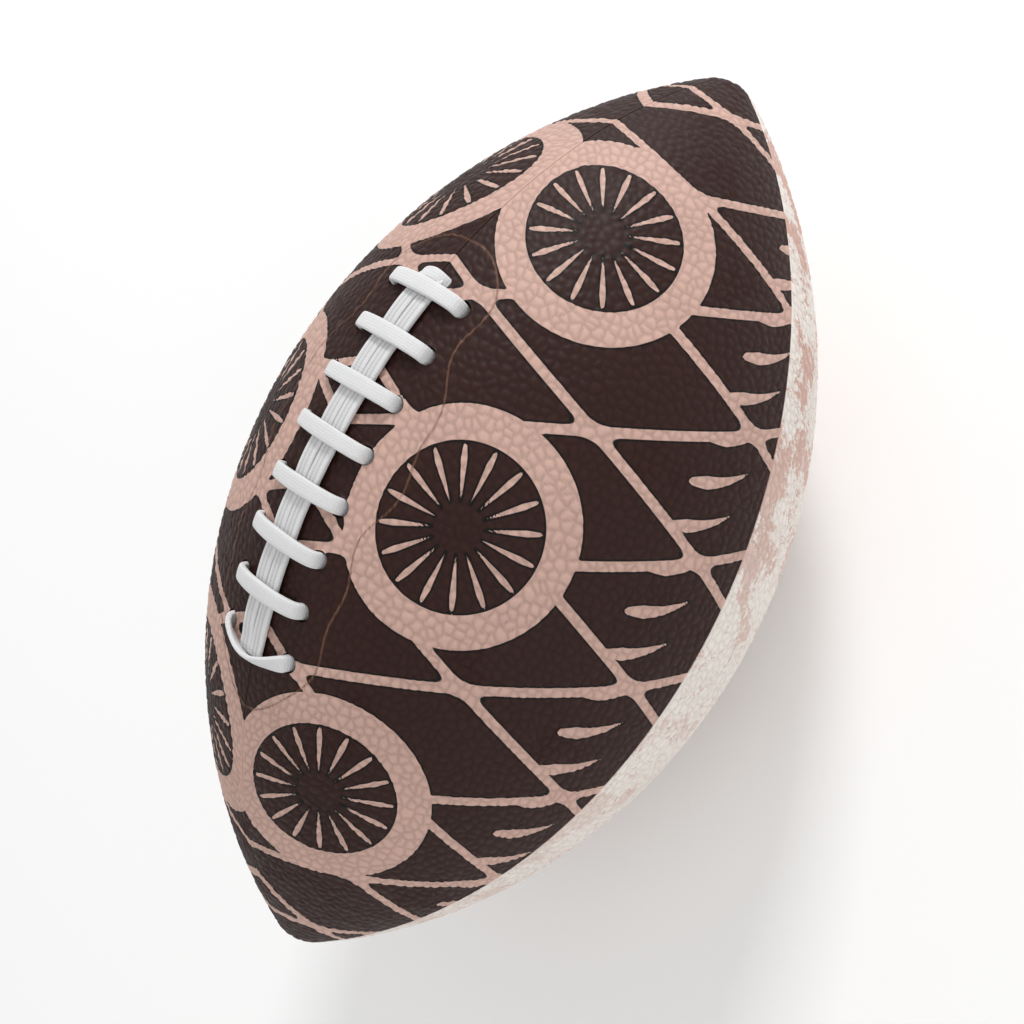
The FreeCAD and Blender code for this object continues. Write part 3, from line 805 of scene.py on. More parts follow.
@dataclass(frozen=True)
class MarbledLeather(Leather):
    """Pebbled leather with an off-white ground, rubbed rose patches and fine veins."""

    # Weaker painted shade in the creases than on the printed leather.
    painted_crease_shade: float = 0.18
    drift_scale: float = 30.0
    drift_amount: float = 0.10
    scuff_scale: float = 35.0
    scuff_amount: float = 0.10
    ground: Colour = srgb(236, 228, 220)
    rose: Colour = srgb(208, 168, 155)
    vein: Colour = srgb(200, 158, 146)
    vein_level: float = 0.56
    vein_strength: float = 0.75

    def patches(self, nodes: Nodes, place: object) -> bpy.types.NodeSocket:
        """Ragged patches, denser towards +X."""
        patch = nodes.add("ShaderNodeTexNoise", Vector=place, Scale=48.0, Detail=3.0, Roughness=0.5)
        ragged = nodes.add("ShaderNodeTexNoise", Vector=place, Scale=420.0, Detail=4.0, Roughness=0.7)
        torn = nodes.math("MULTIPLY", nodes.math("SUBTRACT", ragged.outputs["Fac"], 0.5), 0.55)
        found = nodes.ramp(nodes.math("ADD", patch.outputs["Fac"], torn), 0.535, 0.56)
        along = nodes.add("ShaderNodeSeparateXYZ", Vector=place).outputs["X"]
        density = nodes.math("MULTIPLY", nodes.ramp(along, -0.05, 0.09), 0.6)
        return nodes.math("MULTIPLY", found, nodes.math("ADD", density, 0.35))

    def veins(self, nodes: Nodes, place: object) -> bpy.types.NodeSocket:
        """Fine veins, where a bent noise crosses one level."""
        bent = nodes.add("ShaderNodeTexNoise", Vector=place, Scale=70.0, Detail=5.0, Roughness=0.6)
        nodes.feed(bent, "Distortion", 1.2)
        away = nodes.math("ABSOLUTE", nodes.math("SUBTRACT", bent.outputs["Fac"], self.vein_level))
        return nodes.math("MULTIPLY", nodes.ramp(away, 0.009, 0.002), self.vein_strength)

    def paint(self, nodes: Nodes, shader: bpy.types.Node) -> None:
        """Lays rose patches and veins over the ground."""
        place = nodes.attribute("sheet", vector=True)
        base = nodes.mix(self.patches(nodes, place), self.ground, self.rose)
        base = nodes.mix(self.veins(nodes, place), base, self.vein)
        nodes.feed(shader, "Base Color", self.with_painted_crease_shade(nodes, place, base))
        nodes.feed(shader, "Roughness", self.rubbed(nodes, place))
        self.bump(nodes, shader, self.pores(nodes, place), self.pore_depth, self.pore_strength)


@dataclass(frozen=True)
class LaceFinish(Finish):
    """A coated woven lace."""

    colour: Colour = srgb(224, 224, 225)
    # The grey of the painted shade in the grooves between the ribs.
    hollow_shade: Colour = srgb(168, 167, 169)
    threads: float = 1300.0

    def paint(self, nodes: Nodes, shader: bpy.types.Node) -> None:
        """Weaves the lace along its own length, with painted shade in the grooves between its ribs."""
        place = nodes.attribute("lace_place", vector=True)
        hollow_shade = nodes.attribute("hollow_shade")
        weave = nodes.group(WEAVE.make(), Place=place, Threads=self.threads)
        drift = DRIFT.use(nodes, Place=place, Scale=140.0, Amount=0.10)
        # Painted shade: the colour darkens towards that grey deep in the grooves.
        base = nodes.mix(nodes.math("MULTIPLY", hollow_shade, 0.55), self.colour, self.hollow_shade)
        nodes.feed(shader, "Base Color", nodes.tint(base, drift))
        fuzz = PORES.use(nodes, Place=place, Scale=2400.0)
        height = nodes.math("ADD", weave.outputs["Height"], nodes.math("MULTIPLY", fuzz, 1.2))
        self.bump(nodes, shader, height, 0.12, 0.7)
        nodes.feed(shader, "Roughness", nodes.math("MULTIPLY", drift, self.roughness))


@dataclass(frozen=True)
class Cloth(Finish):
    """A plain woven cloth."""

    colour: Colour = srgb(200, 190, 170)
    dark: Colour = srgb(150, 138, 118)
    threads: float = 1100.0

    def paint(self, nodes: Nodes, shader: bpy.types.Node) -> None:
        """Weaves the cloth on the piece's own coordinates."""
        place = nodes.add("ShaderNodeTexCoord").outputs["Object"]
        weave = nodes.group(WEAVE.make(), Place=place, Threads=self.threads)
        drift = DRIFT.use(nodes, Place=place, Scale=40.0, Amount=0.25)
        share = nodes.math("MULTIPLY", weave.outputs["Over"], drift, clamp=True)
        nodes.feed(shader, "Base Color", nodes.mix(share, self.dark, self.colour))
        self.bump(nodes, shader, weave.outputs["Height"], 0.08, 0.5)


@dataclass(frozen=True)
class Moulded(Finish):
    """Foam, vinyl or rubber with a fine surface and uneven tone."""

    colour: Colour = srgb(40, 38, 37)
    grain: float = 1500.0
    depth: float = 0.05

    def paint(self, nodes: Nodes, shader: bpy.types.Node) -> None:
        """Adds fine grain, drifting tone and rubbed places."""
        place = nodes.add("ShaderNodeTexCoord").outputs["Object"]
        drift = DRIFT.use(nodes, Place=place, Scale=60.0, Amount=0.3)
        nodes.feed(shader, "Base Color", nodes.tint(self.colour, drift))
        rubbed = SCUFF.use(nodes, Place=place, Scale=60.0, Amount=0.2)
        nodes.feed(shader, "Roughness", nodes.math("SUBTRACT", self.roughness, rubbed))
        pores = PORES.use(nodes, Place=place, Scale=self.grain)
        self.bump(nodes, shader, pores, self.depth, 0.5)


@dataclass(frozen=True)
class FloorFinish(Finish):
    """A plain pale floor."""

    colour: Colour = (0.985, 0.985, 0.985)

    def paint(self, nodes: Nodes, shader: bpy.types.Node) -> None:
        """Lets the tone drift very slightly."""
        place = nodes.add("ShaderNodeTexCoord").outputs["Object"]
        drift = DRIFT.use(nodes, Place=place, Scale=3.0, Amount=0.01)
        nodes.feed(shader, "Base Color", nodes.tint(self.colour, drift))


PRINTED = PrintedLeather("printed_leather", 0.52, 0.22)
MARBLED = MarbledLeather("marbled_leather", 0.55, 0.3)
WOVEN_LACE = LaceFinish("coated_lace", 0.6, 0.3)

CAD_FINISHES: dict[str, Finish] = {
    "printed_cover": PRINTED,
    "marbled_cover": MARBLED,
    "lace": WOVEN_LACE,
    "padding": Moulded("padding_foam", 0.85, 0.2, srgb(58, 54, 52), 2600.0, 0.12),
    "lining": Cloth("lining_cloth", 0.85, 0.2, srgb(92, 86, 80), srgb(58, 53, 49)),
    "stay": Moulded("stay_vinyl", 0.5, 0.4, srgb(92, 70, 58)),
    "tongue": Moulded("tongue_vinyl", 0.45, 0.45, srgb(58, 50, 46)),
    "bladder": Moulded("bladder_rubber", 0.5, 0.4, srgb(34, 33, 34), 900.0, 0.08),
    "needle_thread": Cloth("needle_thread_wax", 0.6, 0.3, srgb(62, 48, 42), srgb(34, 25, 22), 2200.0),
    "bobbin_thread": Cloth("bobbin_thread_wax", 0.6, 0.3, srgb(206, 196, 184), srgb(150, 138, 126), 2200.0),
    "valve_housing": Moulded("housing_rubber", 0.55, 0.4, srgb(30, 29, 29)),
    "valve_plug": Moulded("plug_rubber", 0.45, 0.45, srgb(20, 20, 21)),
    "valve_grommet": Moulded("grommet_rubber", 0.5, 0.4, srgb(44, 40, 39)),
}


# ----------------------------------------------------------------------------------------- node geometry


class GeometryTree:
    """A Geometry Nodes tree with named inputs, used once on one object and then made a plain mesh."""

    def __init__(self, name: str, sizes: dict[str, float | int]) -> None:
        """Starts a tree.

        Args:
            name: the tree's name.
            sizes: its named inputs and their values.
        """
        self.tree = bpy.data.node_groups.new(name, "GeometryNodeTree")
        self.sizes = sizes
        face = self.tree.interface
        face.new_socket("Geometry", in_out="INPUT", socket_type="NodeSocketGeometry")
        for key, value in sizes.items():
            kind = "NodeSocketInt" if isinstance(value, int) else "NodeSocketFloat"
            face.new_socket(key, in_out="INPUT", socket_type=kind)
        face.new_socket("Geometry", in_out="OUTPUT", socket_type="NodeSocketGeometry")
        self.nodes = Nodes(self.tree)
        self.given = self.nodes.add("NodeGroupInput")
        self.out = self.nodes.add("NodeGroupOutput")

    def size(self, name: str) -> bpy.types.NodeSocket:
        """One of the named inputs."""
        return self.given.outputs[name]

    def end(self, geometry: bpy.types.NodeSocket, material: bpy.types.Material) -> None:
        """Ends the tree in real geometry with its material."""
        real = self.nodes.add("GeometryNodeRealizeInstances", Geometry=geometry)
        dressed = self.nodes.add("GeometryNodeSetMaterial", Geometry=real.outputs["Geometry"])
        dressed.inputs["Material"].default_value = material
        self.nodes.feed(self.out, "Geometry", dressed.outputs["Geometry"])

    def apply(self, made: bpy.types.Object, material: bpy.types.Material) -> None:
        """Runs the tree on an object, and keeps the result as its plain mesh.

        Args:
            made: the object.
            material: the material that the result wears.
        """
        modifier = made.modifiers.new(self.tree.name, "NODES")
        modifier.node_group = self.tree
        for item in self.tree.interface.items_tree:
            if item.item_type == "SOCKET" and item.in_out == "INPUT" and item.name in self.sizes:
                modifier[item.identifier] = self.sizes[item.name]
        graph = bpy.context.evaluated_depsgraph_get()
        result = bpy.data.meshes.new_from_object(
            made.evaluated_get(graph), preserve_all_data_layers=True, depsgraph=graph
        )
        made.modifiers.remove(modifier)
        old = made.data
        made.data = result
        bpy.data.meshes.remove(old)
        result.name = made.name
        result.materials.clear()
        result.materials.append(material)


def pebble_tree(material: bpy.types.Material, seed: float) -> GeometryTree:
    """Builds the tree that raises a pressed pebble grain.

    Args:
        material: the material that the result wears.
        seed: a place in the pattern, so that the covers differ.

    Returns:
        The tree.
    """
    sizes = {
        "Pebble Size": 2.75 * MM,
        "Pebble Height": 0.30 * MM,
        "Sink": 1.0,
        "Crease Width": 0.26,
        "Wander": 0.9 * MM,
        "Tilt": 0.5,
        "Seed": float(seed),
    }
    made = GeometryTree("pebble_grain", sizes)
    nodes = made.nodes
    sheet = nodes.add("GeometryNodeInputNamedAttribute", {"data_type": "FLOAT_VECTOR"}, Name="sheet")
    weight = nodes.add("GeometryNodeInputNamedAttribute", {"data_type": "FLOAT"}, Name="grain")
    place = sheet.outputs["Attribute"]
    shift = nodes.add("ShaderNodeCombineXYZ", X=made.size("Seed"), Y=made.size("Seed"))
    moved = nodes.vector_math("ADD", place, shift.outputs["Vector"])
    noise = nodes.add("ShaderNodeTexNoise", Vector=moved, Scale=260.0, Detail=1.0)
    centred = nodes.vector_math("SUBTRACT", noise.outputs["Color"], (0.5, 0.5, 0.5))
    bent = nodes.vector_math("ADD", moved, nodes.vector_math("SCALE", centred, made.size("Wander")))
    density = nodes.math("DIVIDE", 1.0, made.size("Pebble Size"))
    edges, cells = (
        nodes.add(
            "ShaderNodeTexVoronoi",
            {"feature": feature, "voronoi_dimensions": "2D"},
            Vector=bent,
            Scale=density,
            Randomness=0.85,
        )
        for feature in ("DISTANCE_TO_EDGE", "F1")
    )
    rise = nodes.add("ShaderNodeMapRange", {"interpolation_type": "SMOOTHSTEP"})
    nodes.feed(rise, "Value", edges.outputs["Distance"])
    nodes.feed(rise, "From Max", made.size("Crease Width"))
    dome = nodes.math("SUBTRACT", 1.0, nodes.math("POWER", cells.outputs["Distance"], 2.0))
    shape = nodes.math("MULTIPLY", rise.outputs["Result"], dome)
    varied = nodes.add("FunctionNodeSeparateColor", Color=cells.outputs["Color"])
    level = nodes.math("ADD", 0.75, nodes.math("MULTIPLY", varied.outputs["Red"], made.size("Tilt")))
    sunk = nodes.math("SUBTRACT", nodes.math("MULTIPLY", shape, level), made.size("Sink"))
    height = nodes.math("MULTIPLY", sunk, made.size("Pebble Height"))
    lift = nodes.math("MULTIPLY", height, weight.outputs["Attribute"])
    normal = nodes.add("GeometryNodeInputNormal")
    offset = nodes.vector_math("SCALE", normal.outputs["Normal"], lift)
    raised = nodes.add("GeometryNodeSetPosition", Geometry=made.given.outputs["Geometry"], Offset=offset)
    # The crease mask sets where the leathers paint shade into their colour, and where the printed leather's
    # roughness rises.
    low = nodes.math("SUBTRACT", 1.0, rise.outputs["Result"])
    crease = nodes.math("MULTIPLY", low, weight.outputs["Attribute"])
    kept = nodes.add(
        "GeometryNodeStoreNamedAttribute",
        {"data_type": "FLOAT", "domain": "POINT"},
        Geometry=raised.outputs["Geometry"],
        Name="crease",
        Value=crease,
    )
    made.end(kept.outputs["Geometry"], material)
    return made


def crossbar_tree(material: bpy.types.Material, lacing: "Lacing") -> GeometryTree:
    """Builds the tree that repeats one crossbar along the lacing.

    Args:
        material: the material that the result wears.
        lacing: the lacing's sizes.

    Returns:
        The tree.
    """
    outline = lacing.outline
    sizes = {
        "Bars": lacing.rows - 1,
        "First Turn": lacing.at(1) / outline.arc,
        "Step": lacing.pitch / outline.arc,
        "Lean": 0.022,
        "Seed": 4,
    }
    made = GeometryTree("crossbar_row", sizes)
    nodes = made.nodes
    line = nodes.add("GeometryNodeMeshLine", Count=made.size("Bars"))
    nodes.feed(line, "Start Location", (0.0, 0.0, -outline.sink * MM))
    nodes.feed(line, "Offset", (0.0, 0.0, 0.0))
    index = nodes.add("GeometryNodeInputIndex").outputs["Index"]
    turn = nodes.math("ADD", made.size("First Turn"), nodes.math("MULTIPLY", index, made.size("Step")))
    lean = nodes.add("FunctionNodeRandomValue", {"data_type": "FLOAT"})
    nodes.feed(lean, 2, nodes.math("MULTIPLY", made.size("Lean"), -1.0))
    nodes.feed(lean, 3, made.size("Lean"))
    nodes.feed(lean, "Seed", made.size("Seed"))
    turns = [nodes.add("FunctionNodeEulerToRotation") for _ in range(2)]
    nodes.feed(turns[0], 0, nodes.add("ShaderNodeCombineXYZ", Y=turn).outputs["Vector"])
    nodes.feed(turns[1], 0, nodes.add("ShaderNodeCombineXYZ", Z=lean.outputs[1]).outputs["Vector"])
    both = nodes.add("FunctionNodeRotateRotation", {"rotation_space": "LOCAL"})
    for n, single in enumerate(turns):
        nodes.feed(both, n, single.outputs[0])
    row = nodes.add("GeometryNodeInstanceOnPoints", Points=line.outputs["Mesh"])
    nodes.feed(row, "Instance", made.given.outputs["Geometry"])
    nodes.feed(row, "Rotation", both.outputs[0])
    made.end(row.outputs["Instances"], material)
    return made


# ------------------------------------------------------------------------------------------------ covers


@dataclass(frozen=True)
class Hole:
    """A round hole through a cover, about a line."""

    origin: Vector
    axis: Vector
    radius: float

    def away(self, points: np.ndarray) -> tuple[np.ndarray, np.ndarray]:
        """How far points lie from the hole's axis.

        Args:
            points: the points, one per row.

        Returns:
            The vectors from the axis to the points, and their lengths, which are large behind the origin.
        """
        axis = np.array(self.axis.normalized())
        off = points - np.array(self.origin)
        ahead = off @ axis
        out = off - ahead[:, None] * axis
        length = np.linalg.norm(out, axis=1)
        return out, np.where(ahead > 0, length, FAR)


@dataclass
class Skin:
    """One face of a cover: rows of points across it, joined by triangles."""

    points: np.ndarray
    triangles: np.ndarray
    rows: list[np.ndarray]
    rim_reach: float = 3.5

    def cut(self, hole: Hole) -> np.ndarray:
        """Opens a hole, and draws its rim onto a circle.

        Args:
            hole: the hole.

        Returns:
            The indices of the rim's points, in order.
        """
        out, away = hole.away(self.points)
        gone = away < hole.radius
        self.triangles = self.triangles[~gone[self.triangles].any(axis=1)]
        near = away < hole.radius + self.rim_reach
        loop = boundary_loop(self.triangles, near)
        pull = hole.radius / away[loop] - 1.0
        self.points[loop] += out[loop] * pull[:, None]
        return loop


@dataclass
class Cover:
    """One outer panel: a pebbled face, edges turned in along both seams, and a plain inner face."""

    outline: Outline
    quarter: Quarter
    finish: Finish
    holes: Sequence[Hole] = ()
    step: float = 0.6
    inner_rows: int = 2
    inner_step: float = 1.3
    wall: float = 1.8
    turn_in: float = 3.8
    turn_in_reach: float = 139.0
    seam_round: float = 0.5
    turn_in_margin: float = 0.1
    edge_steps: tuple[float, ...] = (0.0, 0.06, 0.16, 0.32, 0.55)
    nose_fade: float = 6.0
    narrowest: float = 1.0
    grain_start: float = 0.1
    grain_fade: float = 0.7
    unprinted_gap: float = 5.0
    seed_step: float = 0.37
    art: SheetPrint | None = None

    def across(self, width: float) -> np.ndarray:
        """Places for points across a panel, from 0 to its width, closer together at its edges."""
        *start, last = self.edge_steps
        if width <= TINY:
            return np.zeros(1)
        if width < 4 * last + self.step:
            return np.linspace(0.0, width, max(1, round(width / self.step)) + 1)
        count = max(2, round((width - 2 * last) / self.step))
        middle = np.linspace(last, width - last, count + 1)
        return np.concatenate([start, middle, width - np.array(start)[::-1]])

    def outer_skin(self, stations: np.ndarray) -> tuple[Skin, np.ndarray]:
        """Builds the face that shows.

        Args:
            stations: surface lengths of the rows.

        Returns:
            The skin, and for each point its place on the flat sheet and its distance from the nearest seam.
        """
        _, radii = self.outline.station(stations, np.zeros_like(stations))
        points, marks, rows, start = [], [], [], 0
        for along, radius in zip(stations, radii):
            width = QUARTER_TURN * radius
            spots = self.across(width)
            edge = np.minimum(spots, width - spots)
            near = np.clip(self.seam_round - edge, 0.0, self.seam_round)
            lift = -(self.seam_round - np.sqrt(self.seam_round**2 - near**2))
            lift *= min(1.0, width / self.nose_fade)
            s = np.full_like(spots, along)
            turn = spots / radius if radius > TINY else np.zeros(1)
            points.append(self.outline.place(self.quarter, s, turn, lift))
            marks.append(np.stack([s, spots - width / 2, edge], axis=1))
            rows.append(np.arange(start, start + len(spots)))
            start += len(spots)
        triangles = [self.join(a, b) for a, b in zip(rows, rows[1:])]
        return Skin(np.concatenate(points), np.concatenate(triangles), rows), np.concatenate(marks)

    @staticmethod
    def join(first: np.ndarray, second: np.ndarray) -> np.ndarray:
        """Triangles between two rows that span the same panel."""
        at = [np.linspace(0.0, 1.0, len(row)) if len(row) > 1 else np.zeros(1) for row in (first, second)]
        return zip_rows(first, second, *at)

    def inner_skin(self, stations: np.ndarray) -> Skin:
        """Builds the face that lies on the padding, with the turned-in edges.

        Args:
            stations: surface lengths of the rows.

        Returns:
            The skin, whose triangles face inwards.
        """
        points, rows, start = [], [], 0
        for along in stations:
            turned_in = abs(along) < self.turn_in_reach
            depth = self.turn_in if turned_in else self.wall + self.turn_in_margin
            at = np.array([along])
            _, radius = self.outline.station(at, np.array([-self.wall]))
            width = QUARTER_TURN * float(radius[0])
            if width < self.narrowest:
                spots, depths = np.zeros(1), np.array([self.wall])
                turns = spots
            else:
                edge = min(self.wall, width / 5)
                count = max(2, round((width - 2 * edge) / self.inner_step))
                inner = np.linspace(edge, width - edge, count + 1)
                spots = np.concatenate([[0.0, edge], inner, [width - edge, width]])
                depths = np.full(len(spots), self.wall)
                depths[[0, 1, -2, -1]] = depth
                turns = spots / float(radius[0])
            s = np.full(len(spots), along)
            points.append(self.outline.place(self.quarter, s, turns, -depths))
            rows.append(np.arange(start, start + len(spots)))
            start += len(spots)
        triangles = [self.join(a, b)[:, ::-1] for a, b in zip(rows, rows[1:])]
        return Skin(np.concatenate(points), np.concatenate(triangles), rows)

    def build(self) -> bpy.types.Object:
        """Builds the cover's mesh, raises its grain and dresses it.

        Returns:
            The finished piece.
        """
        count = 2 * self.inner_rows * round(self.outline.reach / self.step / self.inner_rows)
        stations = np.linspace(-self.outline.reach, self.outline.reach, count + 1)
        outer, marks = self.outer_skin(stations)
        inner = self.inner_skin(stations[:: self.inner_rows])
        base = len(outer.points)
        walls = []
        for end, flip in ((0, False), (-1, True)):
            rim = np.array([row[end] for row in outer.rows])
            root = np.array([row[end] for row in inner.rows]) + base
            wall = zip_rows(rim, root, stations, stations[:: self.inner_rows])
            walls.append(wall[:, ::-1] if flip else wall)
        for hole in self.holes:
            walls.append(self.hole_wall(hole, outer, inner, base))
        points = np.concatenate([outer.points, inner.points])
        triangles = np.concatenate([outer.triangles, inner.triangles + base, *walls])
        made = make_mesh(f"{self.quarter.node}_leather", points, triangles)
        self.mark(made, marks, len(inner.points))
        leather = self.finish.make()
        pebble_tree(leather, self.quarter.value * self.seed_step).apply(made, leather)
        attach(made, "root")
        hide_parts(self.quarter.node)
        return made

    def hole_wall(self, hole: Hole, outer: Skin, inner: Skin, base: int) -> np.ndarray:
        """Cuts a hole through both faces and joins their rims.

        Args:
            hole: the hole.
            outer: the face that shows.
            inner: the face behind.
            base: the inner face's first index in the whole mesh.

        Returns:
            The wall's triangles.
        """
        axis = np.array(hole.axis.normalized())
        side = np.cross(axis, [1.0, 0.0, 0.0])
        side /= np.linalg.norm(side)
        other = np.cross(axis, side)
        loops, turns = [], []
        for skin, shift in ((outer, 0), (inner, base)):
            loop = skin.cut(hole)
            out, _ = hole.away(skin.points[loop])
            turn = np.unwrap(np.arctan2(out @ other, out @ side))
            if turn[-1] < turn[0]:
                loop, turn = loop[::-1], turn[::-1]
            first = int(np.argmin(np.mod(turn, math.tau)))
            loop, turn = np.roll(loop, -first), np.mod(np.roll(turn, -first), math.tau)
            loops.append(np.append(loop, loop[0]) + shift)
            turns.append(np.maximum.accumulate(np.append(turn, turn[0] + math.tau)))
        return zip_rows(loops[1], loops[0], turns[1], turns[0])

    def mark(self, made: bpy.types.Object, marks: np.ndarray, inner_count: int) -> None:
        """Stores what the finish and the grain need at each point.

        Args:
            made: the piece.
            marks: for each outer point, its place along and across the panel and its distance from a seam.
            inner_count: how many inner points follow them.
        """
        half = self.outline.panel_width / 2
        middle = {Quarter.TOP_FRONT: half, Quarter.TOP_BACK: -half}.get(self.quarter, 0.0)
        spot = marks[:, :2] + np.array([0.0, middle])
        rest = np.zeros((inner_count, 2))
        sheet = np.concatenate([spot, rest])
        add_attribute(made, "sheet", np.column_stack([sheet, np.zeros(len(sheet))]) * MM)
        weight = np.clip((marks[:, 2] - self.grain_start) / self.grain_fade, 0.0, 1.0)
        add_attribute(made, "grain", np.concatenate([weight, np.zeros(inner_count)]))
        if self.art:
            rest_gap = np.full(inner_count, self.unprinted_gap)
            for name, shape in (("print_gap", self.art), ("stay_shade_gap", StayShadeLine())):
                add_attribute(made, name, np.concatenate([shape.distance(spot), rest_gap]))


# -------------------------------------------------------------------------------------------- the lacing


@dataclass
class Swept:
    """A band swept along a path: its mesh, and where each point lies on the band."""

    points: np.ndarray
    faces: list[list[int]]
    place: np.ndarray
    hollow_shade: np.ndarray


@dataclass
class Band:
    """A soft flat band swept along a path, with rounded sides and shallow ribs."""

    width: float
    thickness: float
    ribs: int = 0
    rib_depth: float = 0.16
    rib_width: float = 0.11
    rib_floor: float = 0.2
    squareness: float = 3.6
    count: int = 44

    def section(self) -> tuple[np.ndarray, np.ndarray]:
        """Builds the outline across the band.

        Returns:
            Points across and up in millimetres, and how deep in a rib's groove each lies, from 0 to 1, which
            also sets the lace's painted shade.
        """
        turn = np.linspace(0.0, math.tau, self.count, endpoint=False)
        power = 2 / self.squareness
        u = np.sign(np.cos(turn)) * np.abs(np.cos(turn)) ** power
        v = np.sign(np.sin(turn)) * np.abs(np.sin(turn)) ** power
        hollow_shade = np.zeros(self.count)
        for n in range(1, self.ribs):
            middle = -1 + 2 * n / self.ribs
            hollow_shade = np.maximum(hollow_shade, np.exp(-(((u - middle) / self.rib_width) ** 2)))
        hollow_shade = np.where(v > self.rib_floor, hollow_shade, 0.0)
        up = v * self.thickness / 2 - hollow_shade * self.rib_depth
        return np.stack([u * self.width / 2, up], axis=1), hollow_shade

    def sweep(self, path: np.ndarray, sides: np.ndarray, ups: np.ndarray, scale: np.ndarray) -> Swept:
        """Sweeps the band along a path.

        Args:
            path: the middle of the band, one point per row.
            sides: the direction of the band's width at each point.
            ups: the direction of its thickness.
            scale: the width's and the thickness's share at each point, one pair per row.

        Returns:
            The swept band.
        """
        section, hollow_shade = self.section()
        count, rows = self.count, len(path)
        wide = section[None, :, 0:1] * scale[:, None, 0:1] * sides[:, None, :]
        thick = section[None, :, 1:2] * scale[:, None, 1:2] * ups[:, None, :]
        points = (path[:, None, :] + wide + thick).reshape(-1, 3)
        faces = []
        for row in range(rows - 1):
            a, b = row * count, (row + 1) * count
            faces += [[a + n, a + (n + 1) % count, b + (n + 1) % count, b + n] for n in range(count)]
        faces.append(list(range(count))[::-1])
        faces.append([(rows - 1) * count + n for n in range(count)])
        along = np.repeat(lengths_along(path), count)
        place = np.column_stack([along, np.tile(section, (rows, 1))])
        return Swept(points, faces, place, np.tile(hollow_shade, rows))


